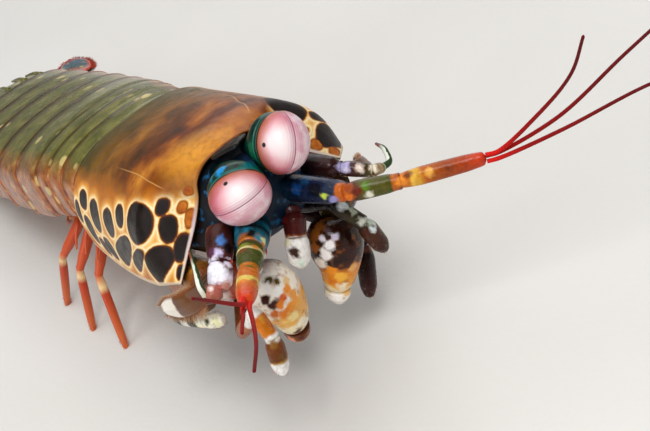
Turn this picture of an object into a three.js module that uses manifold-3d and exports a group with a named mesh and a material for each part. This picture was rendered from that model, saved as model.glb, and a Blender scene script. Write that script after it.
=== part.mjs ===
// A peacock mantis shrimp at life size, standing with its front raised, as a still museum model.
// Millimetres, +Z up. The head looks along -Y, the tail lies at +Y, and +X is the animal's left.
import * as THREE from 'three';
import { mergeVertices } from 'three/addons/utils/BufferGeometryUtils.js';
import Module from 'manifold-3d';

const wasm = await Module();
wasm.setup();

const X = new THREE.Vector3(1, 0, 0);
const radians = THREE.MathUtils.degToRad;
const point = (x, y, z) => new THREE.Vector3(x, y, z);

// Room left between two pieces that meet face to face
const GAP = 0.3;

// The head's own frame starts midway between the eyes: left, up the back of the head, and forward
const EYE_HEIGHT = 38;
const HEAD_PITCH = radians(10);

// Eyes: half-sizes of the cornea along and across its middle band, and along its gaze
const EYE_ALONG_BAND = 4.15;
const EYE_ACROSS_BAND = 3.8;
const EYE_DEPTH = 3.8;
const EYE_RIM_ANGLE = radians(108);
const STALK_ROOT_RADIUS = 1.6;

// Carapace, in the head's frame
const CARAPACE_REAR = -43;
const CARAPACE_HALF_WIDTH = 16.2;
const CARAPACE_TOP = 4.4;
const CARAPACE_MARGIN = -10.8;
// How the shell changes towards the rear: lower margin that sags, then lifts; narrower; lower top
const MARGIN_SAG = 0.8;
const MARGIN_LIFT = 2.2;
const REAR_NARROWING = 0.8;
const FRONT_NARROWING = 0.6;
// How far the left front corner stands out past the right one, because the head is turned
const LEFT_FLARE = 2.4;
const REAR_LOWERING = 0.9;
// How far the rear edge's corners reach back past its middle
const REAR_LOBE = 8;
const CARAPACE_THICKNESS = 1;
const CARAPACE_SQUARENESS = 0.76;
// Its front edge arches over the eyestalks, then slopes out, down and back to each front corner
const CARAPACE_FRONT_EDGE = [
  [0, 3, -8], [3.6, 2.5, -8.3], [5.7, 0.9, -8.8], [6.7, -1.4, -9.4], [8.7, -4.2, -10.2], [11.5, -7.3, -11.2],
  [14.5, -10.5, -12],
];
// Share of the carapace's length over which the front edge's form swells into the full dome
const CARAPACE_SWELL = 0.2;

// Body rings behind the carapace
const THORAX_RING_LENGTH = 5.4;
const ABDOMEN_RING_LENGTH = 11.4;
const TELSON_LENGTH = 19;
const TELSON_HALF_WIDTH = 10.6;

const materials = {
  carapace: new THREE.MeshStandardMaterial({ color: 0xb8742c, roughness: 0.35, metalness: 0 }),
  body: new THREE.MeshStandardMaterial({ color: 0x6b6b35, roughness: 0.4, metalness: 0 }),
  cornea: new THREE.MeshStandardMaterial({ color: 0xe9b9bd, roughness: 0.15, metalness: 0 }),
  stalk: new THREE.MeshStandardMaterial({ color: 0x0f5a66, roughness: 0.3, metalness: 0 }),
  feeler: new THREE.MeshStandardMaterial({ color: 0xa8741f, roughness: 0.4, metalness: 0 }),
  whip: new THREE.MeshStandardMaterial({ color: 0x9c1c18, roughness: 0.45, metalness: 0 }),
  claw: new THREE.MeshStandardMaterial({ color: 0x8a4a22, roughness: 0.3, metalness: 0 }),
  limb: new THREE.MeshStandardMaterial({ color: 0xd9c9a8, roughness: 0.4, metalness: 0 }),
  leg: new THREE.MeshStandardMaterial({ color: 0xb04a2a, roughness: 0.4, metalness: 0 }),
  fan: new THREE.MeshStandardMaterial({ color: 0x9a3a26, roughness: 0.4, metalness: 0 }),
};

// Turns a place in the head's frame (left, up, forward) into one in the model
function head(left, up, forward) {
  const cosine = Math.cos(HEAD_PITCH);
  const sine = Math.sin(HEAD_PITCH);
  return point(left, up * sine - forward * cosine, EYE_HEIGHT + up * cosine + forward * sine);
}

const headPath = (places) => places.map((place) => head(...place));

// Turns a direction in the head's frame into one in the model
const headDirection = (left, up, forward) => head(left, up, forward).sub(head(0, 0, 0)).normalize();

// Gives a triangle list its faces pointing out
function closedGeometry(vertices, triangles) {
  let sixVolumes = 0;
  for (const [a, b, c] of triangles) {
    sixVolumes += vertices[a].dot(new THREE.Vector3().crossVectors(vertices[b], vertices[c]));
  }
  const outward = sixVolumes > 0 ? triangles : triangles.map(([a, b, c]) => [a, c, b]);
  const geometry = new THREE.BufferGeometry();
  const positions = vertices.flatMap((vertex) => vertex.toArray());
  geometry.setAttribute('position', new THREE.Float32BufferAttribute(positions, 3));
  geometry.setIndex(outward.flat());
  return geometry;
}

// Splits a flat ring of points into triangles that run the same way round as the ring
function ringCap(ring, first) {
  const normal = new THREE.Vector3();
  ring.forEach((here, k) => normal.add(new THREE.Vector3().crossVectors(here, ring[(k + 1) % ring.length])));
  normal.normalize();
  const across = ring[0].clone().sub(ring[Math.floor(ring.length / 2)]);
  across.addScaledVector(normal, -across.dot(normal)).normalize();
  const over = new THREE.Vector3().crossVectors(normal, across);
  const flat = ring.map((here) => new THREE.Vector2(here.dot(across), here.dot(over)));
  return THREE.ShapeUtils.triangulateShape(flat, []).map((triangle) => {
    const [a, b, c] = triangle.map((k) => flat[k]);
    const turn = (b.x - a.x) * (c.y - a.y) - (b.y - a.y) * (c.x - a.x);
    const ordered = turn > 0 ? triangle : [triangle[0], triangle[2], triangle[1]];
    return ordered.map((k) => k + first);
  });
}

// Skins a row of rings. A ring of one point is a tip, and any other end is closed flat.
// The far half of each ring splits its faces the other way, so a thin blade's two faces match.
function loft(rings) {
  const vertices = rings.flat();
  const triangles = [];
  const firsts = [];
  let first = 0;
  for (const ring of rings) {
    firsts.push(first);
    first += ring.length;
  }
  for (let i = 0; i + 1 < rings.length; i += 1) {
    const near = rings[i].length;
    const far = rings[i + 1].length;
    const count = Math.max(near, far);
    for (let j = 0; j < count; j += 1) {
      const next = (j + 1) % count;
      const a = firsts[i] + (near > 1 ? j : 0);
      const b = firsts[i] + (near > 1 ? next : 0);
      const c = firsts[i + 1] + (far > 1 ? j : 0);
      const d = firsts[i + 1] + (far > 1 ? next : 0);
      if (near === 1) triangles.push([a, d, c]);
      else if (far === 1) triangles.push([a, b, c]);
      else if (j < count / 2) triangles.push([a, b, d], [a, d, c]);
      else triangles.push([a, b, c], [b, d, c]);
    }
  }
  const last = rings.length - 1;
  if (rings[0].length > 1) triangles.push(...ringCap(rings[0], 0).map(([a, b, c]) => [a, c, b]));
  if (rings[last].length > 1) triangles.push(...ringCap(rings[last], firsts[last]));
  return closedGeometry(vertices, triangles);
}

// An oval ring square to its path, with its wide way lying along the side direction
function ovalRing({ at, along, wide, deep }, side, sides) {
  const across = side.clone().addScaledVector(along, -side.dot(along)).normalize();
  const over = new THREE.Vector3().crossVectors(along, across);
  return Array.from({ length: sides }, (_, k) => {
    const angle = (2 * Math.PI * (k + 0.5)) / sides;
    return at.clone()
      .addScaledVector(across, wide * Math.cos(angle))
      .addScaledVector(over, deep * Math.sin(angle));
  });
}

// A smooth feeler or spine along a path, thinning evenly from root to tip
function whip(path, rootRadius, tipRadius, { steps = 8, sides = 5, side = X, grow = 0 } = {}) {
  const curve = new THREE.CatmullRomCurve3(path);
  const rings = [];
  for (let i = 0; i <= steps; i += 1) {
    const t = i / steps;
    const radius = THREE.MathUtils.lerp(rootRadius, tipRadius, t) + grow;
    const station = { at: curve.getPointAt(t), along: curve.getTangentAt(t), wide: radius, deep: radius };
    rings.push(ovalRing(station, side, sides));
  }
  return loft(rings);
}

// A jointed limb in one skin: each article swells between its joints and is pinched at them.
// Near a bend the pinched rings stand back from the joint, so that its inner side doesn't cross.
const PINCH = 0.82;
function limb(joints, fullness, { tip = 0.5, sides = 7, side = X, depth = 1, pinch = PINCH, grow = 0 } = {}) {
  const directions = fullness.map((_, i) => joints[i + 1].clone().sub(joints[i]).normalize());
  const stations = [];
  fullness.forEach((full, i) => {
    const along = directions[i];
    const length = joints[i].distanceTo(joints[i + 1]);
    const before = i > 0 ? Math.min(full, fullness[i - 1]) * pinch : full * 0.9;
    const after = i + 1 < fullness.length ? Math.min(full, fullness[i + 1]) * pinch : tip;
    const bendBefore = i > 0 ? along.angleTo(directions[i - 1]) : 0;
    const bendAfter = i + 1 < fullness.length ? along.angleTo(directions[i + 1]) : 0;
    const setBack = Math.max(0.05 * length, (before + grow) * Math.tan(bendBefore / 2) * 1.1);
    const setAhead = Math.max(0.05 * length, (after + grow) * Math.tan(bendAfter / 2) * 1.1);
    const start = i > 0 ? setBack : -grow;
    const end = i + 1 < fullness.length ? length - setAhead : length + grow;
    const swell = start + (end - start) * 0.3;
    const ebb = start + (end - start) * 0.74;
    for (const [distance, radius] of [[start, before], [swell, full], [ebb, full * 0.93], [end, after]]) {
      stations.push({
        at: joints[i].clone().addScaledVector(along, distance),
        along,
        wide: radius + grow,
        deep: radius * depth + grow,
      });
    }
  });
  return loft(stations.map((station) => ovalRing(station, side, sides)));
}

// A flat blade along a path, with a lens-shaped section: half-widths at even steps from root to tip
function blade(path, halfWidths, thickness, facing, grow = 0) {
  const curve = new THREE.CatmullRomCurve3(path);
  const half = thickness / 2 + grow;
  const rings = halfWidths.map((plainWidth, i) => {
    const t = i / (halfWidths.length - 1);
    const along = curve.getTangentAt(t);
    const across = new THREE.Vector3().crossVectors(along, facing).normalize();
    const over = new THREE.Vector3().crossVectors(across, along);
    const width = plainWidth + grow;
    const section = [[-width, 0], [-0.6 * width, half], [0.6 * width, half]];
    section.push([width, 0], [0.6 * width, -half], [-0.6 * width, -half]);
    return section.map(([a, b]) => curve.getPointAt(t).addScaledVector(across, a).addScaledVector(over, b));
  });
  return loft(rings);
}

// Moves each edge of a flat closed outline outward by a distance, with mitred corners
function offsetOutline(outline, distance) {
  const count = outline.length;
  let twiceArea = 0;
  outline.forEach(([a, b], k) => {
    const [c, d] = outline[(k + 1) % count];
    twiceArea += a * d - b * c;
  });
  const turn = Math.sign(twiceArea);
  const normals = outline.map(([a, b], k) => {
    const [c, d] = outline[(k + 1) % count];
    const length = Math.hypot(c - a, d - b);
    return [((d - b) / length) * turn, (-(c - a) / length) * turn];
  });
  return outline.map(([a, b], k) => {
    const [m, n] = normals[(k + count - 1) % count];
    const [p, q] = normals[k];
    const reach = distance / (1 + m * p + n * q);
    return [a + (m + p) * reach, b + (n + q) * reach];
  });
}

// Hands a closed geometry to the solid library, and back
function solid(geometry) {
  const bare = geometry.clone();
  for (const name of ['normal', 'uv']) bare.deleteAttribute(name);
  const merged = mergeVertices(bare, 1e-5);
  const vertProperties = new Float32Array(merged.attributes.position.array);
  const triVerts = new Uint32Array(merged.index.array);
  return new wasm.Manifold(new wasm.Mesh({ numProp: 3, vertProperties, triVerts }));
}

// Keeps the largest closed surface of a joined or cut solid
function geometryOf(manifold) {
  const pieces = manifold.decompose().sort((a, b) => b.volume() - a.volume());
  const mesh = pieces[0].getMesh();
  const geometry = new THREE.BufferGeometry();
  geometry.setAttribute('position', new THREE.Float32BufferAttribute(mesh.vertProperties, 3));
  geometry.setIndex([...mesh.triVerts]);
  return geometry;
}

const join = (shapes) => geometryOf(shapes.map(solid).reduce((whole, piece) => whole.add(piece)));
const carve = (shape, cutters) => {
  return geometryOf(cutters.map(solid).reduce((whole, cutter) => whole.subtract(cutter), solid(shape)));
};

// The floor that the feet and the tail fan rest on, as a slab that trims them level
function floorSlab() {
  const depth = 20;
  const slab = new THREE.BoxGeometry(300, 600, depth);
  slab.translate(0, 0, -depth / 2);
  return slab;
}

const model = new THREE.Group();
function add(name, geometry, material) {
  const mesh = new THREE.Mesh(geometry, material);
  mesh.name = name;
  model.add(mesh);
}

const SIDES = [['left', 1], ['right', -1]];

// Carapace
// A place on the carapace: along runs 0 to 1 from front to rear, around runs -1 to 1 across the back
const frontEdge = new THREE.CatmullRomCurve3(CARAPACE_FRONT_EDGE.map((place) => point(...place)));
function carapaceOutline(along, around) {
  const side = Math.abs(around);
  const front = frontEdge.getPoint(side);
  const swing = (side * Math.PI) / 2;
  const narrowing = REAR_NARROWING * along ** 2 + FRONT_NARROWING * (1 - along) ** 4;
  const raised = around > 0 ? LEFT_FLARE * (1 - along) ** 2 * THREE.MathUtils.smoothstep(side, 0.5, 0.9) : 0;
  const halfWidth = CARAPACE_HALF_WIDTH - narrowing + raised;
  const top = CARAPACE_TOP - REAR_LOWERING * along ** 2;
  const sag = MARGIN_SAG * THREE.MathUtils.smoothstep(along, 0, 0.5);
  const margin = CARAPACE_MARGIN - sag + MARGIN_LIFT * along ** 5;
  const dome = {
    left: halfWidth * Math.sin(swing) ** CARAPACE_SQUARENESS,
    up: margin + (top - margin) * Math.cos(swing) ** CARAPACE_SQUARENESS,
  };
  const rear = CARAPACE_REAR - REAR_LOBE * side ** 2 * (1 - side);
  const swell = THREE.MathUtils.smoothstep(along, -CARAPACE_SWELL, CARAPACE_SWELL) * 2 - 1;
  return {
    left: THREE.MathUtils.lerp(front.x, dome.left, swell) * Math.sign(around),
    up: THREE.MathUtils.lerp(front.y, dome.up, swell),
    forward: THREE.MathUtils.lerp(front.z, rear, along),
  };
}

// The same place moved into the shell by an inset, as left, up and forward
function carapaceInside(along, around, inset) {
  const { left, up, forward } = carapaceOutline(along, around);
  const before = carapaceOutline(along, Math.max(around - 0.04, -1));
  const after = carapaceOutline(along, Math.min(around + 0.04, 1));
  const run = after.left - before.left;
  const climb = after.up - before.up;
  const length = Math.hypot(run, climb);
  return [left + (climb / length) * inset, up - (run / length) * inset, forward];
}

const CARAPACE_STATIONS = [0, 0.035, 0.08, 0.14, 0.22, 0.36, 0.52, 0.68, 0.84, 1];
function carapaceShell(grow = 0) {
  const lengthSteps = CARAPACE_STATIONS.length - 1;
  const roundSteps = 20;
  const vertices = [];
  const triangles = [];
  const row = roundSteps + 1;
  for (const inset of [-grow, CARAPACE_THICKNESS + grow]) {
    for (const along of CARAPACE_STATIONS) {
      for (let j = 0; j <= roundSteps; j += 1) {
        const around = (2 * j) / roundSteps - 1;
        const [left, up, forward] = carapaceInside(along, around, inset);
        const lengthen = (along === 0 ? grow : 0) - (along === 1 ? grow : 0);
        const deepen = Math.abs(around) === 1 ? grow : 0;
        vertices.push(head(left, up - deepen, forward + lengthen));
      }
    }
  }
  const inner = row * (lengthSteps + 1);
  for (let i = 0; i < lengthSteps; i += 1) {
    for (let j = 0; j < roundSteps; j += 1) {
      const a = i * row + j;
      const [b, c, d] = [a + 1, a + row, a + row + 1];
      triangles.push([a, c, b], [b, c, d]);
      triangles.push([a + inner, b + inner, c + inner], [b + inner, d + inner, c + inner]);
    }
  }
  const rim = [];
  for (let j = 0; j < roundSteps; j += 1) rim.push(j);
  for (let i = 0; i < lengthSteps; i += 1) rim.push(i * row + roundSteps);
  for (let j = roundSteps; j > 0; j -= 1) rim.push(lengthSteps * row + j);
  for (let i = lengthSteps; i > 0; i -= 1) rim.push(i * row);
  rim.forEach((a, k) => {
    const b = rim[(k + 1) % rim.length];
    triangles.push([a, b, b + inner], [a, b + inner, a + inner]);
  });
  return closedGeometry(vertices, triangles);
}

// Rostral plate, the short flap over the roots of the eyestalks
function rostrum(grow = 0) {
  const root = head(0, 2.6, CARAPACE_FRONT_EDGE[0][2] + GAP);
  const tip = head(0, 3, CARAPACE_FRONT_EDGE[0][2] + 4);
  const facing = headDirection(0, 1, 0);
  return blade([root, root.clone().lerp(tip, 0.5), tip], [2.6, 2.9, 2.2, 1.1, 0.3], 0.8, facing, grow);
}

// Head and the thorax under the carapace, as one core: first the bare front of the head, then rings
// whose roofs follow the inside of the carapace, each reaching a share of the way round it.
const CORE_FRONT = [
  { forward: -3.6, halfWidth: 5.6, top: -1.6, bottom: -9.4 },
  { forward: -6.2, halfWidth: 7.4, top: 0.6, bottom: -11 },
];
const CORE_COVERED = [
  { along: 0.035, reach: 0.56, halfWidth: 9.4, bottom: -12 },
  { along: 0.08, reach: 0.54, halfWidth: 9.9, bottom: -12.4 },
  { along: 0.14, reach: 0.5, halfWidth: 10.2, bottom: -12.5 },
  { along: 0.22, reach: 0.4, halfWidth: 10.4, bottom: -12.6 },
  { along: 0.6, reach: 0.36, halfWidth: 10.4, bottom: -12 },
  { along: 1, reach: 0.34, halfWidth: 10, bottom: -9.2 },
];
const CORE_REAR = -43.15;
const CORE_MIDDLE = -5;
const CORE_ROOF_POINTS = 5;
// The core's widest place hangs this far below its middle, and its middle has this share of the width
const CORE_WAIST = 2.2;
const CORE_MIDDLE_WIDTH = 0.84;
// Room between the core's roof and the carapace, and a little more for the carapace's flat faces
const CORE_CLEARANCE = GAP + 0.08;
function headCore(grow = 0) {
  // The sides and the belly are the same kind of curve in every ring
  const lowerHalf = (halfWidth, bottom, forward) => [
    [halfWidth * CORE_MIDDLE_WIDTH + grow, CORE_MIDDLE, forward],
    [halfWidth + grow, CORE_MIDDLE - CORE_WAIST, forward],
    [halfWidth * 0.9 + grow * 0.9, CORE_MIDDLE - 2 * CORE_WAIST - grow * 0.4, forward],
    [halfWidth * 0.56 + grow * 0.4, bottom + 0.6 - grow * 0.9, forward],
    [0, bottom - grow, forward],
  ];
  const halves = CORE_FRONT.map(({ forward, halfWidth, top, bottom }, index) => {
    const ahead = forward + (index === 0 ? grow : 0);
    const roof = Array.from({ length: CORE_ROOF_POINTS }, (_, k) => {
      const swing = radians(18 * k);
      const up = CORE_MIDDLE + (top + grow - CORE_MIDDLE) * Math.cos(swing) ** 0.6;
      return [(halfWidth * CORE_MIDDLE_WIDTH + grow) * 0.96 * Math.sin(swing), up, ahead];
    });
    return [...roof, ...lowerHalf(halfWidth, bottom, ahead)];
  });
  const lid = CARAPACE_THICKNESS + CORE_CLEARANCE - grow;
  CORE_COVERED.forEach(({ along, reach, halfWidth, bottom }) => {
    const roof = Array.from({ length: CORE_ROOF_POINTS }, (_, k) => {
      const [right, up, forward] = carapaceInside(along, -(reach * k) / (CORE_ROOF_POINTS - 1), lid);
      return [-right, up, Math.max(forward, CORE_REAR - grow)];
    });
    roof[0][0] = 0;
    halves.push([...roof, ...lowerHalf(halfWidth, bottom, roof[CORE_ROOF_POINTS - 1][2])]);
  });
  return loft(halves.map((half) => {
    const mirrored = half.slice(1, -1).reverse().map(([left, up, forward]) => [-left, up, forward]);
    return headPath([...half, ...mirrored]);
  }));
}

// Body rings
// The line that the middle of each ring follows, from inside the carapace to the root of the telson
const SPINE_START = head(0, -3.8, -43.5);
const SPINE = new THREE.CatmullRomCurve3([
  SPINE_START,
  point(0, 57, 24.6),
  point(0, 73, 20.6),
  point(0, 95, 16),
  point(0, 117, 11.6),
  point(0, 137, 6.9),
  point(0, 160, 0.6),
]);
const SPINE_LENGTH = SPINE.getLength();

function spineFrame(distance) {
  const t = distance / SPINE_LENGTH;
  const along = SPINE.getTangentAt(t);
  return { at: SPINE.getPointAt(t), along, up: new THREE.Vector3().crossVectors(along, X).negate() };
}

// Share of a ring's size at its front edge, and at the flared rear edge of all rings but the last
const RING_TUCK = 0.94;
const RING_FLARE = 1.02;
const LAST_RING_REAR = 0.86;

// Power that makes the arch of a ring's back squarer than an oval
const BODY_SQUARENESS = 0.86;

// A ring's outline: arched back, side flaps that hang past the belly, and a flat belly
function bodyOutline({ width, rise, drop, flap }, scale, grow) {
  const half = [18, 36, 54, 72, 90].map((angle) => {
    const swing = radians(angle);
    return [width * Math.sin(swing) ** BODY_SQUARENESS, rise * Math.cos(swing) ** BODY_SQUARENESS];
  });
  half.push([width * 0.98, -drop - flap], [width * 0.76, -drop * 0.94]);
  const outline = [[0, rise], ...half, [0, -drop]].map(([a, b]) => [a * scale, b * scale]);
  const mirrored = outline.slice(1, -1).reverse().map(([a, b]) => [-a, b]);
  return offsetOutline([...outline, ...mirrored], grow);
}

// One ring of the body: tucked in at its front, and flared where its rear edge laps the next
function bodyRing({ start, length, size, rear }, grow = 0) {
  const stations = [
    [GAP / 2 - grow, RING_TUCK],
    [length * 0.22, 0.985],
    [length * 0.8, (1 + rear) / 2],
    [length - GAP / 2 + grow, rear],
  ];
  return loft(stations.map(([offset, scale]) => {
    const { at, up } = spineFrame(start + offset);
    const place = ([a, b]) => at.clone().addScaledVector(X, a).addScaledVector(up, b);
    return bodyOutline(size, scale, grow).map(place);
  }));
}

// A place by a body ring: to the side, back from its front, and up from its middle line
function ringPlace(ring, side, back, rise) {
  const { at, up } = spineFrame(ring.start + back);
  return at.clone().addScaledVector(X, side).addScaledVector(up, rise);
}

const THORAX_RINGS = [5, 6, 7, 8].map((number, k) => ({
  name: `thorax_segment_${number}`,
  start: k * THORAX_RING_LENGTH,
  length: THORAX_RING_LENGTH,
  size: { width: 12.2 + 0.5 * k, rise: 5.4 + 0.15 * k, drop: 4.4, flap: 0.6 + 0.2 * k },
  rear: RING_FLARE,
}));
const ABDOMEN_START = THORAX_RINGS.length * THORAX_RING_LENGTH;
const ABDOMEN_RINGS = [1, 2, 3, 4, 5, 6].map((number, k) => ({
  name: `abdomen_segment_${number}`,
  start: ABDOMEN_START + k * ABDOMEN_RING_LENGTH,
  length: ABDOMEN_RING_LENGTH,
  size: {
    width: 14 + 0.9 * Math.sin((Math.PI * (k + 0.6)) / 4.6) - (k === 5 ? 0.4 : 0),
    rise: 6.1 - 0.28 * k,
    drop: 4.2 - 0.22 * k,
    flap: 2 - 0.2 * k,
  },
  rear: k === 5 ? LAST_RING_REAR : RING_FLARE,
}));
const TELSON_START = ABDOMEN_START + ABDOMEN_RINGS.length * ABDOMEN_RING_LENGTH;

// Even random numbers from 0 to 1, the same in every run
let randomState = 20260;
function random() {
  randomState = (randomState * 48271) % 2147483647;
  return randomState / 2147483647;
}

// A swimming leg: a short stalk, two soft paddles that sweep back, and a tuft of gill filaments
const GILLS_PER_LEG = 3;
function pleopod(ring, sign) {
  const belly = -ring.size.drop;
  const middle = ring.length * 0.45;
  const local = (side, back, rise) => ringPlace(ring, side * sign, middle + back, belly + rise);
  const stalk = limb([local(6.4, -0.5, 1.6), local(6.9, 0.6, -2.6)], [1.5], { tip: 1.1, sides: 6 });
  const { along, up } = spineFrame(ring.start + middle);
  const facing = along.clone().addScaledVector(up, 0.6).normalize();
  const paddles = [[7.2, 9.4, 2.6], [5.6, 4.2, 2.1]].map(([root, tip, width]) => blade(
    [local(root, 0.4, -1.4), local((root + tip) / 2, 2.3, -4.2), local(tip, 5, -6.6)],
    [1, width, width * 1.05, width * 0.35],
    0.8,
    facing,
  ));
  const gills = Array.from({ length: GILLS_PER_LEG }, (_, k) => {
    const spread = (k + 0.5) / GILLS_PER_LEG - 0.5;
    const path = [
      local(5.2, spread * 3.2, 0.6),
      local(3.8 + 0.5 * random(), spread * 4.6 - 0.2, -1.8),
      local(2 + 0.9 * random(), spread * 6 + 0.4, -2.6 - 0.9 * random()),
    ];
    return whip(path, 0.42, 0.26, { steps: 3, sides: 4 });
  });
  return [stalk, ...paddles, ...gills];
}

// Keels along the back of the last ring, each ending in a point at its rear edge
const KEEL_SHARES = [0.2, 0.5, 0.76];
function hindKeels(ring) {
  return SIDES.flatMap(([, sign]) => KEEL_SHARES.map((share) => {
    const side = ring.size.width * share * sign;
    const roof = ring.size.rise * Math.cos(Math.asin(share ** (1 / BODY_SQUARENESS))) ** BODY_SQUARENESS;
    const path = [[0.3, -0.3, 0.99], [0.62, 0.2, 0.96], [0.99, 0.5, ring.rear]].map(([back, rise, scale]) => {
      return ringPlace(ring, side * scale, back * ring.length, roof * scale + rise);
    });
    return whip(path, 0.7, 0.27, { steps: 3, sides: 5 });
  }));
}

// Telson
// Half of its outline as [side, back]: shoulder, side, then three marginal teeth with notches between
const TELSON_OUTLINE = [
  [0.86, 0.02], [1, 0.2], [0.99, 0.45], [0.9, 0.66], [0.9, 0.78], [0.74, 0.74],
  [0.66, 0.95], [0.5, 0.84], [0.27, 1], [0.12, 0.88],
];
// Levels from its belly to its back: the share of the outline, and the height above its edge
const TELSON_DROP = -1.3;
const TELSON_LEVELS = [[0.5, -1.2], [0.93, -0.9], [1, -0.2], [0.97, 0.4], [0.66, 2.23], [0.3, 2.88]];
function telsonFrame() {
  const { at, along, up } = spineFrame(TELSON_START + GAP);
  return (side, back, rise) => at.clone()
    .addScaledVector(X, side)
    .addScaledVector(along, back)
    .addScaledVector(up, rise);
}

function telson(grow = 0) {
  const local = telsonFrame();
  const centre = TELSON_LENGTH * 0.42;
  const outline = [[0, 0], ...TELSON_OUTLINE, [0, 0.86]];
  const mirrored = TELSON_OUTLINE.slice().reverse().map(([a, b]) => [-a, b]);
  const loop = [...outline, ...mirrored].map(([a, b]) => [a * TELSON_HALF_WIDTH, b * TELSON_LENGTH]);
  const widen = 1 + grow / TELSON_HALF_WIDTH;
  return loft(TELSON_LEVELS.map(([share, rise]) => loop.map(([a, b]) => local(
    a * share * widen,
    centre + (b - centre) * share * widen,
    TELSON_DROP + rise + Math.sign(rise) * grow,
  ))));
}

// Ridges on the telson's back, each ending in a point: one in the middle and three to each side
function telsonRidges() {
  const local = telsonFrame();
  const ridges = [[0, 0.12, 0.74, 1.5], [0.3, 0.16, 0.9, 1.2], [0.55, 0.2, 0.86, 0.9], [0.8, 0.24, 0.7, 0.3]];
  return ridges.flatMap(([side, from, to, rise]) => (side ? [1, -1] : [1]).map((sign) => {
    const across = side * TELSON_HALF_WIDTH * sign;
    const path = [
      local(across * 0.8, from * TELSON_LENGTH, rise - 0.9),
      local(across, (0.5 * from + 0.5 * to) * TELSON_LENGTH, rise - 0.2),
      local(across * 0.95, to * TELSON_LENGTH, rise * 0.3 - 1.1),
    ];
    return whip(path, 0.7, 0.35, { steps: 3, sides: 5 });
  }));
}

// Tail fan
const FAN_SPINES = 6;
function uropod(sign) {
  const place = (side, back, rise) => point(side * sign, back, rise);
  const up = point(0.12 * sign, -0.25, 1).normalize();
  const exopodPath = [
    place(14.5, 133, 3.5), place(18.4, 138.2, 2.6), place(21.6, 144, 1.4), place(23, 150.6, 0.6),
  ];
  const outerEdge = new THREE.CatmullRomCurve3(exopodPath);
  return {
    base: (grow = 0) => limb(
      [place(9.6, 125, 4.6), place(14.1, 132.6, 3.7)],
      [2.1],
      { tip: 1.5, depth: 0.85, grow },
    ),
    exopod: (grow = 0) => blade(exopodPath, [1.2, 2.3, 2.8, 2.7, 3.7, 3.5, 2.6, 0.9], 1.3, up, grow),
    // Movable spines along the outer edge of the front half of the outer blade
    spines: () => Array.from({ length: FAN_SPINES }, (_, k) => {
      const t = 0.12 + (0.4 * k) / (FAN_SPINES - 1);
      const along = outerEdge.getTangentAt(t);
      const outward = new THREE.Vector3().crossVectors(along, up).multiplyScalar(sign).normalize();
      const root = outerEdge.getPointAt(t).addScaledVector(outward, 1.3);
      const tip = root.clone().addScaledVector(outward, 1.5 + 0.5 * t).addScaledVector(along, 1.7 + 1.4 * t);
      return whip([root, root.clone().lerp(tip, 0.5), tip], 0.48, 0.26, { steps: 2, sides: 4 });
    }),
    endopod: (grow = 0) => blade(
      [place(13.4, 134, 2.9), place(14.6, 139.6, 2.1), place(16, 148, 0.7)],
      [0.9, 1.9, 2.4, 2, 0.6],
      1.1,
      up,
      grow,
    ),
  };
}

// Eyes, each looking its own way
const EYES = {
  left: {
    centre: head(4.2, 1.2, 0),
    gaze: headDirection(0.189, -0.063, 0.982),
    band: headDirection(0.475, 0.861, -0.036),
  },
  right: {
    centre: head(-4.2, -1.1, 0),
    gaze: headDirection(-0.399, -0.379, 0.836),
    band: headDirection(0.913, -0.112, 0.385),
  },
};

// Rings square to the gaze of an eye, at polar angles measured from the middle of the cornea
const EYE_SIDES = 16;
function eyeRing(name, polar, depth, scale, grow = 0) {
  const { centre, gaze } = EYES[name];
  return {
    at: centre.clone().addScaledVector(gaze, depth),
    along: gaze,
    wide: EYE_ALONG_BAND * Math.sin(polar) * scale + grow,
    deep: EYE_ACROSS_BAND * Math.sin(polar) * scale + grow,
  };
}

function eyeBall(name, grow = 0) {
  const { centre, gaze, band } = EYES[name];
  const latitudes = [0.16, 0.33, 0.5, 0.67, 0.84, 1].map((share) => share * EYE_RIM_ANGLE);
  const rings = latitudes.map((polar) => {
    const ring = eyeRing(name, polar, (EYE_DEPTH + grow) * Math.cos(polar), 1, grow * Math.sin(polar));
    return ovalRing(ring, band, EYE_SIDES);
  });
  return loft([[centre.clone().addScaledVector(gaze, EYE_DEPTH + grow)], ...rings]);
}

// Depth below the cornea's rim, and share of the rim's size, of the rings of the stalk's cup
const STALK_CUPS = [[0, 0.97], [1.1, 0.95], [2.6, 0.72]];
const STALK_NECK_RADIUS = 1.75;

// The stalk widens from its root into a cup that holds the cornea
function eyeStalk(name, sign) {
  const { gaze, band } = EYES[name];
  const rimDepth = EYE_DEPTH * Math.cos(EYE_RIM_ANGLE) - GAP;
  const root = head(2.5 * sign, -0.2, -8.6);
  const cups = STALK_CUPS.map(([depth, scale]) => {
    return eyeRing(name, EYE_RIM_ANGLE, rimDepth - depth, scale);
  });
  const backward = headDirection(0, 0, -1);
  const neckPlace = eyeRing(name, EYE_RIM_ANGLE, rimDepth - 3.4, 1).at.lerp(root, 0.35);
  const neckAlong = gaze.clone().negate().lerp(backward, 0.5).normalize();
  const stations = [
    ...cups.map((cup) => ({ ...cup, along: gaze.clone().negate() })),
    { at: neckPlace, along: neckAlong, wide: STALK_NECK_RADIUS, deep: STALK_NECK_RADIUS },
    { at: root, along: backward, wide: STALK_ROOT_RADIUS, deep: STALK_ROOT_RADIUS },
  ];
  return loft(stations.map((station) => ovalRing(station, band, 12)));
}

// Front limbs: the places of their joints in the head's frame (left, up, forward)
const ANTENNULES = {
  left: [[2.8, -5.6, -5.4], [6.9, -8.2, 4], [12.8, -10, 8], [22, -12.2, 14]],
  right: [[-3.2, -7.5, -5.4], [-7.2, -7.1, 1.5], [-11, -6.2, 9], [-15.9, -4.6, 19]],
};
const ANTENNULE_FULLNESS = { left: [1.85, 1.35, 1.2], right: [2.4, 1.75, 1.4] };
const ANTENNULE_TIP = 0.85;

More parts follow.
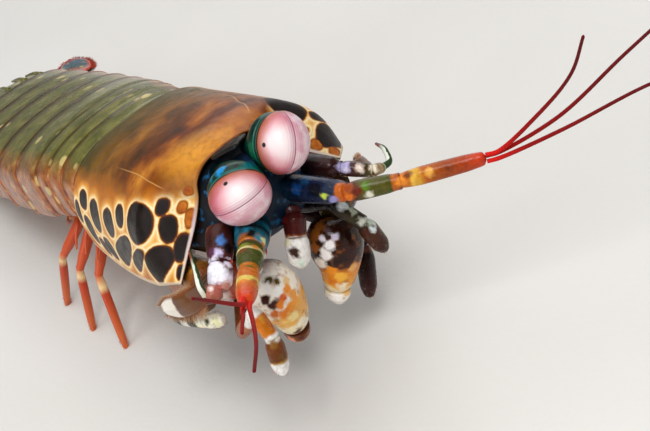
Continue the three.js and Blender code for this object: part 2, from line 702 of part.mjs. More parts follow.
// Whips of each antennule: their places after the root. The roots sit evenly round the antennule's end.
const WHIP_SEAT_RADIUS = 0.53;
const WHIP_LEAD = 1.6;
const WHIP_RADII = [0.3, 0.25];
const WHIPS = {
  left: [
    [[30.6, -11.2, 20.2], [38.6, -7, 27], [45, -3, 34]],
    [[27.6, -9, 20.6], [30.4, -4, 28], [31.4, 1.2, 33]],
    [[31, -13.6, 19], [39.5, -12.2, 27], [46.5, -12, 34]],
  ],
  right: [
    [[-17.9, -2.2, 23], [-20.7, 1.5, 27], [-23.4, 5.1, 31]],
    [[-18.5, -3.1, 25], [-19.8, -2.4, 28], [-20.8, -2.2, 30]],
    [[-18.1, -3.8, 26], [-20.6, -3.3, 32], [-23.8, -2.7, 38]],
  ],
};
// Turn of the first whip's root round the end of the antennule
const WHIP_TURNS = { left: radians(-20), right: radians(80) };

const ANTENNAE = {
  left: [[7.2, -5.2, -6], [10.3, -7.7, -2], [12.9, -9.6, 0.6], [14.6, -10.4, 0.3]],
  right: [[-7.2, -5.2, -6], [-10.5, -7.9, -2.6], [-12.9, -10.3, -1.3], [-14.9, -9.6, -1.6]],
};
const ANTENNA_FULLNESS = { left: [1.5, 1.05, 0.8], right: [1.9, 1.7, 1.2] };
const ANTENNA_TIP = 0.55;
const ANTENNA_WHIP_RADII = [0.5, 0.25];
const ANTENNA_WHIPS = {
  left: [[14.4, -10.3, 0.3], [15.8, -10.4, -0.1], [16.7, -9.4, -1.5], [18.2, -10.1, -7]],
  right: [[-14.8, -9.6, -1.6], [-14.8, -8.2, -1.5], [-13.8, -6.8, -3], [-12.2, -5.3, -6.4]],
};

// Antennal scales: their paths, then half-widths from root to tip and the thickness of the blade
const SCALES = {
  left: [[10.2, -8.6, -3.4], [15.6, -12, -7.4], [17.4, -15.2, -16]],
  right: [[-10.6, -8.8, -3.8], [-15.4, -11.6, -7.6], [-17.8, -13.2, -15.4]],
};
const SCALE_HALF_WIDTHS = [0.8, 1.3, 1.7, 1.7, 0.7];
const SCALE_THICKNESS = 0.9;

// Folded striking limbs: shaft, short elbow piece, hand, swollen heel of the finger, and the finger
// itself folded up behind the hand
const RAPTORIALS = {
  left: {
    merus: [[7.6, -12.3, -30], [11, -14, -24], [11.6, -13.8, -12]],
    carpus: [[11.4, -14.2, -10.6], [7.9, -13.8, -7.8]],
    propodus: [[7, -14.4, -7.2], [4.8, -21.2, -7.6], [3.4, -24.4, -9.4]],
    dactyl: [[3.4, -24.4, -9.4], [2.7, -27, -10.6]],
    finger: [[3, -26, -11.2], [4, -22.8, -12.4], [5, -19.4, -12.4], [5.6, -16.6, -11.6]],
  },
  right: {
    merus: [[-7.6, -12.3, -30], [-11, -14, -24], [-11.4, -12.6, -10]],
    carpus: [[-11.3, -12.2, -8.6], [-7.9, -13.2, -6.2]],
    propodus: [[-6.9, -13.3, -5.6], [-5.2, -20.6, -6.8], [-4.9, -24.7, -8.8]],
    dactyl: [[-4.9, -24.7, -8.8], [-5.2, -27.2, -10.1]],
    finger: [[-5.1, -26.2, -10.9], [-5, -23.4, -12], [-5.2, -20, -11.6], [-5.4, -17.6, -11]],
  },
};

const FINGER_RADII = [1.05, 0.3];

const MAXILLIPEDS = {
  maxilliped_3_left: [[3.2, -10.5, -10], [1.6, -8.9, -3.2], [0, -11.6, -2.6], [-1.2, -16.1, -4]],
  maxilliped_3_right: [[-3.2, -10.5, -10], [-4.4, -10.6, -4.8], [-6.8, -10.9, -3], [-8, -11.4, -2.4]],
  maxilliped_4_left: [[4.4, -10.8, -9.5], [6.6, -10.8, -2.6], [8.6, -15.6, -1.2], [9.4, -21, -1.4]],
  maxilliped_4_right: [
    [-4.6, -11.6, -13], [-12.4, -19.4, -6.6], [-11.3, -14.8, 0.8], [-11.3, -18.8, 1.8], [-12.7, -24, 1.5],
  ],
  maxilliped_5_left: [[4.6, -11.6, -17], [9.8, -19.4, -15], [10.8, -24, -12.6], [7.4, -30.4, -12]],
  maxilliped_5_right: [
    [-4.6, -11.6, -19], [-10.5, -19, -20], [-16.2, -16.2, -17.6], [-15.1, -15.7, -9.2], [-13.3, -16.3, -6.7],
  ],
};

// Radii of their articles, for limbs of three and of four, and for the broad and the slender one
const MAXILLIPED_FULLNESS = [[1.1, 1.15, 1.35], [1, 1.05, 1.1, 1.3]];
const OWN_FULLNESS = { maxilliped_3_left: [1.2, 1.6, 1.65], maxilliped_5_right: [1, 1.05, 1.15, 1.05] };

// Walking legs: how far each knee and foot stands out, and where the feet are along the body
const LEGS = [
  { number: 1, ring: 1, knee: [16.2, 48.5, 12], foot: [19.4, 45.5, -0.4] },
  { number: 2, ring: 2, knee: [17, 55.5, 11], foot: [20.6, 56, -0.4] },
  { number: 3, ring: 3, knee: [16.8, 64, 10], foot: [20, 68, -0.4] },
];

// A leg's hip is set in from the side of its ring, and its elbow and its slender outer branch follow
const HIP_SIDE = 6;
const HIP_RISE = 0.8;
const ELBOW = [4.4, -0.5, -3.4];
const BRANCH_KNEE = [2.8, -1.8, -0.6];
const BRANCH_TIP = [5, -2.6, -3.4];
const BRANCH_RADII = [0.5, 0.28];

const sideways = headDirection(1, 0, 0);
const ahead = headDirection(0, 0, 1);

function antennule(name, grow = 0) {
  const path = headPath(ANTENNULES[name]);
  return limb(path, ANTENNULE_FULLNESS[name], { tip: ANTENNULE_TIP, side: sideways, grow });
}
function merus(name, grow = 0) {
  const path = headPath(RAPTORIALS[name].merus);
  return limb(path, [2.4, 3.3], { tip: 2.4, sides: 10, side: sideways, depth: 1, grow });
}
function carpus(name, grow = 0) {
  return limb(headPath(RAPTORIALS[name].carpus), [2.6], { tip: 2, sides: 8, side: ahead, grow });
}
function propodus(name, grow = 0) {
  const path = headPath(RAPTORIALS[name].propodus);
  return limb(path, [4, 2.9], { tip: 1.8, sides: 10, side: sideways, depth: 0.85, pinch: 0.97, grow });
}
function dactyl(name) {
  const heel = limb(headPath(RAPTORIALS[name].dactyl), [2], { tip: 0.8, sides: 8, side: sideways });
  const fingerPath = headPath(RAPTORIALS[name].finger);
  const finger = whip(fingerPath, ...FINGER_RADII, { steps: 5, sides: 6, side: sideways });
  return join([heel, finger]);
}

const core = () => headCore(GAP);
const floor = floorSlab();

add('carapace', carapaceShell(), materials.carapace);
add('rostrum', rostrum(), materials.carapace);
add('head', carve(headCore(), [carapaceShell(GAP)]), materials.body);

THORAX_RINGS.forEach((ring) => add(ring.name, bodyRing(ring), materials.body));
ABDOMEN_RINGS.forEach((ring, k) => {
  const shell = bodyRing(ring);
  const limbs = k < 5 ? SIDES.flatMap(([, sign]) => pleopod(ring, sign)) : hindKeels(ring);
  add(ring.name, join([shell, ...limbs]), materials.body);
});
add('telson', carve(join([telson(), ...telsonRidges()]), [floor]), materials.fan);

const lastRing = ABDOMEN_RINGS[5];
for (const [name, sign] of SIDES) {
  const other = name === 'left' ? 'right' : 'left';
  const { base, exopod, spines, endopod } = uropod(sign);
  add(`uropod_${name}_base`, carve(base(), [bodyRing(lastRing, GAP), telson(GAP)]), materials.fan);
  add(`uropod_${name}_exopod`, carve(join([exopod(), ...spines()]), [base(GAP), floor]), materials.fan);
  const endopodCutters = [base(GAP), exopod(GAP), telson(GAP), floor];
  add(`uropod_${name}_endopod`, carve(endopod(), endopodCutters), materials.fan);

  add(`eye_${name}`, eyeBall(name), materials.cornea);
  const around = [core(), rostrum(GAP), carapaceShell(GAP), eyeBall(other, GAP)];
  add(`eyestalk_${name}`, carve(eyeStalk(name, sign), around), materials.stalk);

  const antennulePath = headPath(ANTENNULES[name]);
  add(`antennule_${name}`, carve(antennule(name), [core()]), materials.feeler);
  WHIPS[name].forEach((places, k) => {
    const [before, end] = antennulePath.slice(-2);
    const along = end.clone().sub(before).normalize();
    const seat = { at: end, along, wide: WHIP_SEAT_RADIUS, deep: WHIP_SEAT_RADIUS };
    const turned = sideways.clone().applyAxisAngle(along, WHIP_TURNS[name] - radians(60) + radians(120) * k);
    const [root] = ovalRing(seat, turned, 3);
    const path = [root, root.clone().addScaledVector(along, WHIP_LEAD), ...headPath(places)];
    const shape = carve(whip(path, ...WHIP_RADII), [antennule(name, GAP)]);
    add(`antennule_whip_${k + 1}_${name}`, shape, materials.whip);
  });

  const antennaPath = headPath(ANTENNAE[name]);
  const antenna = (grow) => limb(antennaPath, ANTENNA_FULLNESS[name], {
    tip: ANTENNA_TIP, side: ahead, grow,
  });
  const antennaWhip = whip(headPath(ANTENNA_WHIPS[name]), ...ANTENNA_WHIP_RADII);
  add(`antenna_${name}`, join([carve(antenna(0), [core()]), antennaWhip]), materials.feeler);
  const scale = blade(headPath(SCALES[name]), SCALE_HALF_WIDTHS, SCALE_THICKNESS, sideways);
  add(`antennal_scale_${name}`, carve(scale, [antenna(GAP)]), materials.feeler);

  add(`raptorial_merus_${name}`, carve(merus(name), [core(), carapaceShell(GAP)]), materials.claw);
  add(`raptorial_carpus_${name}`, carve(carpus(name), [merus(name, GAP)]), materials.claw);
  add(`raptorial_propodus_${name}`, carve(propodus(name), [carpus(name, GAP)]), materials.claw);
  add(`raptorial_dactyl_${name}`, carve(dactyl(name), [propodus(name, GAP), core()]), materials.claw);
}

for (const [name, places] of Object.entries(MAXILLIPEDS)) {
  const [fullness] = MAXILLIPED_FULLNESS.filter((radii) => radii.length === places.length - 1);
  const neighbours = [merus, carpus, propodus, antennule];
  const around = SIDES.flatMap(([side]) => neighbours.map((piece) => piece(side, GAP)));
  const shape = limb(headPath(places), OWN_FULLNESS[name] ?? fullness, { tip: 0.6, side: sideways });
  add(name, carve(shape, [core(), ...around]), materials.limb);
}

for (const [name, sign] of SIDES) {
  const outward = ([side, back, rise]) => point(side * sign, back, rise);
  for (const { number, ring, knee, foot } of LEGS) {
    const body = THORAX_RINGS[ring];
    const hip = ringPlace(body, HIP_SIDE * sign, body.length / 2, -body.size.drop + HIP_RISE);
    const elbow = hip.clone().add(outward(ELBOW));
    const leg = limb([hip, elbow, outward(knee), outward(foot)], [1.15, 0.95, 0.75], {
      tip: 0.4, sides: 6, side: point(0, 1, 0),
    });
    const branchPlaces = [BRANCH_KNEE, BRANCH_TIP].map((place) => elbow.clone().add(outward(place)));
    const branchPath = [elbow, ...branchPlaces];
    const branch = whip(branchPath, ...BRANCH_RADII, { steps: 4, sides: 5 });
    const shape = carve(join([leg, branch]), [bodyRing(body, GAP), floor]);
    add(`walking_leg_${number}_${name}`, shape, materials.leg);
  }
}

// The middle of the whole footprint becomes the origin
const box = new THREE.Box3().setFromObject(model);
const middle = box.getCenter(new THREE.Vector3());
model.position.set(-middle.x, -middle.y, -box.min.z);

export default model;
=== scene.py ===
import math

import bpy
import numpy as np
from mathutils import Matrix, Vector


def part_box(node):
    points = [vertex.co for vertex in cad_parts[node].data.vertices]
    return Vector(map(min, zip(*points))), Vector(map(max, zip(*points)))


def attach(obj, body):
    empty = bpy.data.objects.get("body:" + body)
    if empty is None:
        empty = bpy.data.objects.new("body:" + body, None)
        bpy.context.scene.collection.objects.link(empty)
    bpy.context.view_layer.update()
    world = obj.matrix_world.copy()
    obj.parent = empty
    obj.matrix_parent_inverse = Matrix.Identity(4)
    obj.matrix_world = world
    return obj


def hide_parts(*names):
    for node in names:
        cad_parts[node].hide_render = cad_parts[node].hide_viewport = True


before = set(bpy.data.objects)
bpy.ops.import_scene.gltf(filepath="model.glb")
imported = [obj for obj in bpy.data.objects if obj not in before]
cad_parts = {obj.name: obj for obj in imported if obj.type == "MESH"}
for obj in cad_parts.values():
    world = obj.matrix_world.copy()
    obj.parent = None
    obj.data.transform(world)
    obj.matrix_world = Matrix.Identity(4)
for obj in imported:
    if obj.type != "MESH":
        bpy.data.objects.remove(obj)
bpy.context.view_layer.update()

# A peacock mantis shrimp. Sizes are in millimetres in the design's frame and become metres in Shape.build.
MM = 0.001
GAP = 0.3
EYE_HEIGHT = 38.0
HEAD_PITCH = math.radians(10)
TANGENT_STEP = 0.004
SIDES = (("left", 1), ("right", -1))
LEFT, BACK, UP = (1, 0, 0), (0, 1, 0), (0, 0, 1)


def unit(vector):
    vector = np.asarray(vector, float)
    return vector / np.linalg.norm(vector, axis=-1, keepdims=True)


def head(places):
    """Places in the head's frame (left, up, forward from between the eyes) as places in the design."""
    places = np.asarray(places, float)
    left, up, forward = places[..., 0], places[..., 1], places[..., 2]
    cosine, sine = math.cos(HEAD_PITCH), math.sin(HEAD_PITCH)
    return np.stack([left, up * sine - forward * cosine, EYE_HEIGHT + up * cosine + forward * sine], -1)


def head_direction(left, up, forward):
    return unit(head([left, up, forward]) - head([0, 0, 0]))


def smoothstep(value, low, high):
    share = np.clip((np.asarray(value, float) - low) / (high - low), 0, 1)
    return share * share * (3 - 2 * share)


class Curve:
    """A centripetal Catmull-Rom curve through its points, read by share of its length."""

    def __init__(self, points, samples=400):
        points = np.asarray(points, float)
        self.controls = np.vstack([2 * points[0] - points[1], points, 2 * points[-1] - points[-2]])
        self.count = len(points)
        self.shares = np.linspace(0, 1, samples + 1)
        dense = self.at(self.shares)
        steps = np.linalg.norm(np.diff(dense, axis=0), axis=1)
        self.lengths = np.concatenate([[0], np.cumsum(steps)])
        self.length = self.lengths[-1]

    def at(self, share):
        place = np.clip(np.asarray(share, float), 0, 1) * (self.count - 1)
        index = np.minimum(place.astype(int), self.count - 2)
        w = (place - index)[..., None]
        p0, p1, p2, p3 = (self.controls[index + k] for k in range(4))
        d0, d1, d2 = (
            np.maximum(np.linalg.norm(b - a, axis=-1) ** 0.5, 1e-4)[..., None]
            for a, b in ((p0, p1), (p1, p2), (p2, p3))
        )
        leave = ((p1 - p0) / d0 - (p2 - p0) / (d0 + d1) + (p2 - p1) / d1) * d1
        arrive = ((p2 - p1) / d1 - (p3 - p1) / (d1 + d2) + (p3 - p2) / d2) * d1
        square = -3 * p1 + 3 * p2 - 2 * leave - arrive
        cube = 2 * p1 - 2 * p2 + leave + arrive
        return p1 + leave * w + square * w**2 + cube * w**3

    def even(self, share):
        return self.at(np.interp(np.asarray(share, float) * self.length, self.lengths, self.shares))

    def tangent(self, share):
        before, after = (self.even(np.clip(share + step, 0, 1)) for step in (-TANGENT_STEP, TANGENT_STEP))
        return unit(after - before)


def profile(stops, share):
    """A smooth curve through (place, height) stops, without overshoot."""
    places, heights = np.array(stops, float).T
    slopes = np.diff(heights) / np.diff(places)
    ends = np.concatenate([[slopes[0]], np.where(
        slopes[1:] * slopes[:-1] > 0,
        2 * slopes[1:] * slopes[:-1] / np.where(slopes[1:] + slopes[:-1] == 0, 1, slopes[1:] + slopes[:-1]),
        0,
    ), [slopes[-1]]])
    share = np.asarray(share, float)
    k = np.clip(np.searchsorted(places, share, side="right") - 1, 0, len(slopes) - 1)
    width = places[k + 1] - places[k]
    t = np.clip((share - places[k]) / width, 0, 1)
    return (
        heights[k] * (2 * t**3 - 3 * t**2 + 1) + heights[k + 1] * (3 * t**2 - 2 * t**3)
        + width * (ends[k] * (t**3 - 2 * t**2 + t) + ends[k + 1] * (t**3 - t**2))
    )


def design_shift():
    """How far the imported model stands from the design: its footprint's middle is its origin."""
    low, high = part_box("carapace")
    front = head([0, CARAPACE_FRONT_EDGE[0][1] - CARAPACE_THICKNESS, CARAPACE_FRONT_EDGE[0][2]])[1]
    return np.array([(low.x + high.x) / 2 / MM, low.y / MM - front, 0.0])


# Carapace, in the head's frame
CARAPACE_REAR = -43.0
CARAPACE_HALF_WIDTH = 16.2
CARAPACE_TOP = 4.4
CARAPACE_MARGIN = -10.8
CARAPACE_THICKNESS = 1.0
CARAPACE_SQUARENESS = 0.76
CARAPACE_SWELL = 0.2
CARAPACE_LENGTH = 35.0
CARAPACE_GIRTH = 25.0
REAR_NARROWING = 0.8
FRONT_NARROWING = 0.6
LEFT_FLARE = 2.4
REAR_LOWERING = 0.9
MARGIN_SAG = 0.8
MARGIN_LIFT = 2.2
REAR_LOBE = 8.0
CARAPACE_FRONT_EDGE = [
    (0, 3, -8), (3.6, 2.5, -8.3), (5.7, 0.9, -8.8), (6.7, -1.4, -9.4),
    (8.7, -4.2, -10.2), (11.5, -7.3, -11.2), (14.5, -10.5, -12),
]
FRONT_EDGE = Curve(CARAPACE_FRONT_EDGE)
SHIFT = design_shift()
SHELL_SPECULAR = 0.16
PATCH_WAVE, PATCH_EDGE = 0.35, 0.26


class Shape:
    """Collects closed grids of points in millimetres, with named numbers at each point."""

    def __init__(self):
        self.points = []
        self.faces = []
        self.values = []
        self.count = 0

    def chunk(self, points, faces, **values):
        self.points.append(points)
        self.values.append({key: np.ravel(value) for key, value in values.items()})
        self.faces.extend(group + self.count for group in faces)
        self.count += len(points)

    def grid(self, rings, ends="fan", **values):
        """Skins rings of points, each closed on itself. The ends are fans, or strips in a thin section."""
        rows, sides = rings.shape[:2]
        index = np.arange(rows * sides).reshape(rows, sides)
        after = np.roll(index, -1, axis=1)
        quads = np.stack([index[:-1], after[:-1], after[1:], index[1:]], -1).reshape(-1, 4)
        points = rings.reshape(-1, 3)
        numbers = {key: np.broadcast_to(value, (rows, sides)).astype(float) for key, value in values.items()}
        faces = [quads]
        if ends == "fan":
            first, last = rows * sides, rows * sides + 1
            points = np.vstack([points, rings[0].mean(0), rings[-1].mean(0)])
            start = np.stack([after[0], index[0], np.full(sides, first)], -1)
            finish = np.stack([index[-1], after[-1], np.full(sides, last)], -1)
            faces.append(np.vstack([start, finish]))
            numbers = {key: np.append(value.ravel(), [value[0].mean(), value[-1].mean()])
                       for key, value in numbers.items()}
        else:
            j = np.arange(sides // 2 - 1)
            for row, turn in ((0, 1), (rows - 1, -1)):
                strip = np.stack([index[row, j], index[row, sides - 1 - j],
                                  index[row, sides - 2 - j], index[row, j + 1]], -1)
                faces.append(strip[:, ::turn])
        a, b, c = points[quads[:, 0]], points[quads[:, 1]], points[quads[:, 2]]
        middle = points.mean(0)
        if np.einsum("ij,ij->", a - middle, np.cross(b - middle, c - middle)) < 0:
            faces = [group[:, ::-1] for group in faces]
        self.chunk(points, faces, **numbers)

    def stay_above_floor(self):
        for points in self.points:
            points[:, 2] = np.maximum(points[:, 2], 0.0)

    def build(self, name, look, nodes, slot):
        """Makes the piece, with each named number as an attribute that its look can read."""
        points = (np.vstack(self.points) + SHIFT) * MM
        mesh = bpy.data.meshes.new(name)
        mesh.vertices.add(len(points))
        mesh.vertices.foreach_set("co", points.ravel())
        loops = np.concatenate([group.ravel() for group in self.faces])
        sizes = np.concatenate([np.full(len(group), group.shape[1]) for group in self.faces])
        mesh.loops.add(len(loops))
        mesh.loops.foreach_set("vertex_index", loops)
        mesh.polygons.add(len(sizes))
        mesh.polygons.foreach_set("loop_start", np.concatenate([[0], np.cumsum(sizes)[:-1]]))
        mesh.polygons.foreach_set("use_smooth", np.full(len(sizes), True))
        mesh.update(calc_edges=True)
        mesh.validate()
        for key in sorted({key for values in self.values for key in values}):
            numbers = np.concatenate([
                values.get(key, np.zeros(len(part))) for values, part in zip(self.values, self.points)
            ])
            mesh.attributes.new(key, "FLOAT", "POINT").data.foreach_set("value", numbers)
        mesh.materials.append(look)
        piece = bpy.data.objects.new(name, mesh)
        bpy.context.scene.collection.objects.link(piece)
        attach(piece, "root")
        if nodes:
            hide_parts(*nodes)
        return piece

    def dress(self, node, look, slot):
        return self.build(f"{node}_dressed", look, [node], slot)


def colour(code):
    """A hex sRGB colour as linear red, green, blue and alpha."""
    channels = [int(code[k:k + 2], 16) / 255 for k in (0, 2, 4)]
    return tuple(c / 12.92 if c <= 0.04045 else ((c + 0.055) / 1.055) ** 2.4 for c in channels) + (1.0,)


class Look:
    """A procedural material: reads the mesh's numbers and noise, and ends in one Principled shader."""

    def __init__(self, name, **sockets):
        self.material = bpy.data.materials.new(name)
        self.material.use_nodes = True
        self.tree = self.material.node_tree
        self.shader = self.tree.nodes["Principled BSDF"]
        for key, value in {"Specular_IOR_Level": SHELL_SPECULAR, **sockets}.items():
            self.shader.inputs[key.replace("_", " ")].default_value = value
        self.place = self.node("ShaderNodeTexCoord").outputs["Object"]

    def put(self, socket, value):
        if isinstance(value, bpy.types.NodeSocket):
            self.tree.links.new(value, socket)
        else:
            socket.default_value = value

    def node(self, kind, inputs=(), **settings):
        made = self.tree.nodes.new(kind)
        for key, value in settings.items():
            setattr(made, key, value)
        for key, value in dict(inputs).items():
            self.put(made.inputs[key], value)
        return made

    def number(self, value):
        """A socket or a plain number as it is, or the mesh's number of that name."""
        if isinstance(value, str):
            return self.node("ShaderNodeAttribute", attribute_name=value).outputs["Fac"]
        return value

    def noise(self, size, detail=3.0, roughness=0.5, distortion=0.0):
        return self.node("ShaderNodeTexNoise", {
            "Vector": self.place, "Scale": 1 / (size * MM), "Detail": detail,
            "Roughness": roughness, "Distortion": distortion,
        }).outputs["Fac"]

    def cells(self, size, randomness=1.0):
        return self.node("ShaderNodeTexVoronoi", {
            "Vector": self.place, "Scale": 1 / (size * MM), "Randomness": randomness,
        }).outputs["Distance"]

    def distance(self, place):
        """How far each point is from a place in the head's frame, in metres."""
        ends = {0: self.place, 1: tuple((head(place) + SHIFT) * MM)}
        return self.node("ShaderNodeVectorMath", ends, operation="DISTANCE").outputs["Value"]

    def compute(self, operation, a, b=0.0):
        numbers = {0: self.number(a), 1: self.number(b)}
        return self.node("ShaderNodeMath", numbers, operation=operation).outputs[0]

    def add(self, a, b):
        return self.compute("ADD", a, b)

    def times(self, a, b):
        return self.compute("MULTIPLY", a, b)

    def map(self, value, low, high, to_low=0.0, to_high=1.0):
        return self.node("ShaderNodeMapRange", {
            "Value": self.number(value), "From Min": low, "From Max": high,
            "To Min": to_low, "To Max": to_high,
        }).outputs["Result"]

    def wobble(self, value, size, reach, detail=3.0):
        """A value with noise of a size on it, up to a reach either way."""
        return self.add(value, self.map(self.noise(size, detail), 0, 1, -reach, reach))

    def ramp(self, value, stops):
        made = self.node("ShaderNodeValToRGB", {"Fac": value})
        elements = made.color_ramp.elements
        while len(elements) < len(stops):
            elements.new(0.5)
        for element, (place, code) in zip(elements, stops):
            element.position = place
            element.color = colour(code) if isinstance(code, str) else (code, code, code, 1.0)
        return made.outputs["Color"]

    def mix(self, share, a, b, blend="MIX"):
        a, b = (colour(value) if isinstance(value, str) else value for value in (a, b))
        inputs = {0: share, 6: a, 7: b}
        return self.node("ShaderNodeMix", inputs, data_type="RGBA", blend_type=blend).outputs[2]

    def tint(self, base, paint, value, low, high, to_low=0.0, to_high=1.0):
        """Paint over a base colour, by how far a value has come from low to high."""
        return self.mix(self.map(value, low, high, to_low, to_high), base, paint)

    def bands(self, node, length, size, waver):
        """The colours along a limb, whose edges waver with noise of a size."""
        place = self.map(self.wobble("reach", size, waver), 0, length)
        return self.ramp(place, [(min(at / length, 1.0), code) for at, code in LIMB_BANDS[node]])

    def patches(self, base, patches):
        """Wavy-edged round patches over a colour: each a place in the head's frame, a radius and a colour."""
        wave = self.map(self.noise(1.1, 2.5), 0.3, 0.7, -PATCH_WAVE * MM, PATCH_WAVE * MM)
        for *place, radius, code in patches:
            base = self.tint(base, code, self.add(self.distance(place), wave),
                             (radius - PATCH_EDGE) * MM, (radius + PATCH_EDGE) * MM, 1.0, 0.0)
        return base

    def finish(self, base, rough=None, bumps=()):
        """Ends the material. Rough is the size of its noise, its low and its high value, where it isn't even.
        A bump is the size of its noise or a height, its depth in millimetres and the noise's detail."""
        self.put(self.shader.inputs["Base Color"], base)
        if rough:
            self.put(self.shader.inputs["Roughness"], self.map(self.noise(rough[0]), 0.3, 0.7, *rough[1:]))
        inputs = {"Strength": 1.0}
        for height, depth, *detail in bumps:
            made = isinstance(height, bpy.types.NodeSocket)
            inputs["Height"] = height if made else self.noise(height, *detail)
            inputs["Distance"] = depth * MM
            inputs["Normal"] = self.node("ShaderNodeBump", inputs).outputs["Normal"]
        if bumps:
            self.put(self.shader.inputs["Normal"], inputs["Normal"])
        return self.material


def shell_look(node, length, roughness=0.3):
    """Wet shell whose colours run along a limb, with patches over them."""
    look = Look(f"{node}_shell", Coat_Weight=0.12, Coat_Roughness=0.12)
    base = look.patches(look.bands(node, length, 1.4, 0.35), PATCHES.get(node, ()))
    shade = look.map(look.noise(0.5, 2.0), 0.2, 0.8, 0.72, 1.12)
    grey = look.node("ShaderNodeCombineColor", {0: shade, 1: shade, 2: shade}).outputs[0]
    base = look.mix(1.0, base, grey, "MULTIPLY")
    return look.finish(base, (0.9, roughness * 0.7, roughness * 1.4), [(0.35, 0.04, 4.0), (1.3, 0.2)])


def claw_look(node, length):
    """Blotched brown, amber and white shell of a striking limb; on the left hand some white patches are
    painted highlights.
    """
    look = Look(f"{node}_shell", Coat_Weight=0.16, Coat_Roughness=0.1)
    base = look.bands(node, length, 1.8, 0.9)
    base = look.tint(base, "9a5418", look.noise(1.2), 0.54, 0.66, 0.0, 0.5)
    base = look.patches(base, PATCHES.get(node, ()))
    base = look.tint(base, "30140a", look.noise(0.45), 0.58, 0.72, 0.0, 0.2)
    return look.finish(base, (1.2, 0.2, 0.36), [(0.5, 0.04), (2.0, 0.25)])


def carapace_outline(along, around):
    """Places on the carapace (left, up, forward): along 0 to 1 from front to rear, around -1 to 1."""
    along, around = np.broadcast_arrays(np.asarray(along, float), np.asarray(around, float))
    side = np.abs(around)
    front = FRONT_EDGE.at(side)
    swing = side * math.pi / 2
    raised = np.where(around > 0, LEFT_FLARE * (1 - along) ** 2 * smoothstep(side, 0.5, 0.9), 0)
    half_width = CARAPACE_HALF_WIDTH - REAR_NARROWING * along**2 - FRONT_NARROWING * (1 - along) ** 4 + raised
    top = CARAPACE_TOP - REAR_LOWERING * along**2
    margin = CARAPACE_MARGIN - MARGIN_SAG * smoothstep(along, 0, 0.5) + MARGIN_LIFT * along**5
    left = half_width * np.maximum(np.sin(swing), 0) ** CARAPACE_SQUARENESS
    up = margin + (top - margin) * np.maximum(np.cos(swing), 0) ** CARAPACE_SQUARENESS
    rear = CARAPACE_REAR - REAR_LOBE * side**2 * (1 - side)
    swell = smoothstep(along, -CARAPACE_SWELL, CARAPACE_SWELL) * 2 - 1
    return np.stack([
        (front[..., 0] + (left - front[..., 0]) * swell) * np.sign(around),
        front[..., 1] + (up - front[..., 1]) * swell,
        front[..., 2] + (rear - front[..., 2]) * along,
    ], -1)


AROUND_STEP = 0.02


def carapace_inside(along, around, inset):
    """The same places moved into the shell by an inset."""
    before, after = (
        carapace_outline(along, np.clip(around + step, -1, 1)) for step in (-AROUND_STEP, AROUND_STEP)
    )
    left, up = (after - before)[..., 0], (after - before)[..., 1]
    length = np.hypot(left, up)
    return carapace_outline(along, around) + np.stack(
        [up / length * inset, -left / length * inset, np.zeros_like(length)], -1)


# Spots of the flanks, each as back and round in millimetres on the shell, half-sizes and turn in degrees
RIGHT_SPOTS = [
    (7.1, 15.9, 3.15, 3.6, 0), (3.2, 13.2, 0.75, 1.6, 0), (2.4, 17.0, 0.95, 2.3, 5),
    (0.8, 20.0, 0.85, 2.1, 0), (4.0, 22.2, 3.0, 1.95, 43), (9.4, 22.1, 3.8, 1.1, 25),
    (15.0, 21.4, 5.2, 1.75, 23), (0.5, 23.4, 0.55, 1.05, 0),
]
RIGHT_AMBER_SPOTS = [(1.3, 13.7, 0.45, 1.1, 0), (0.5, 15.6, 0.45, 1.6, 0), (0.8, 10.4, 0.5, 1.1, 0)]
LEFT_SPOTS = [
    (5.1, 13.8, 2.2, 4.2, 15), (5.1, 20.2, 0.95, 1.8, -20), (3.0, 22.5, 1.85, 2.7, -28),
    (9.8, 18.2, 2.0, 2.4, 10), (9.6, 22.9, 2.2, 1.3, 0), (0.8, 14.2, 0.4, 1.0, 0),
    (15.0, 21.8, 1.8, 1.9, 0),
]
LEFT_AMBER_SPOTS = [(0.9, 20.6, 0.7, 1.1, 0), (0.9, 23.8, 0.75, 1.0, 0), (2.1, 18.1, 0.45, 0.7, 0)]
REAR_SPOTS = [
    (13.6, 15.6, 1.7, 2.0, 10), (18.8, 17.6, 2.2, 2.4, 20), (23.0, 22.6, 2.0, 1.6, 0),
    (25.2, 17.6, 2.1, 2.9, 10), (26.4, 23.0, 1.5, 1.3, 0), (30.0, 21.2, 1.9, 2.3, 0),
    (30.4, 15.9, 1.8, 1.9, 0), (33.6, 19.0, 1.1, 2.2, 0),
]
# Centre of a golden glow painted on the front of the carapace: a painted highlight
PAINTED_GLOW_PLACE = [-3.6, 3.6, -11.0]
GROOVES = {
    "right": [(0, 12), (3, 10.1), (6.2, 8.6), (13.6, 7.9), (35, 7.9)],
    "left": [(0, 6.3), (3.9, 6.1), (7.6, 6.2), (15.8, 8.3), (35, 8.4)],
}
# Grooves run along the back and one across the nape: its place, its bow and how far round it goes
CARAPACE_ROWS, CARAPACE_COLUMNS = 170, 221
FRONT_ROWS, FRONT_SHARE = 70, 0.2
GROOVE_DEPTH, GROOVE_WIDTH = 0.08, 0.3
GROOVE_START, GROOVE_END = (3, 4.5), (-22, -14)
NAPE_BACK, NAPE_BOW, NAPE_REACH = 26.5, 0.03, 9.4
NAPE_DEPTH, NAPE_WIDTH = 0.12, 0.7
RIM_THINNESS, RIM_WIDTH = 0.32, 1.8
RIM_DROP = 0.06
SPOT_SQUARENESS = 2.3
NO_SPOT = 9.0


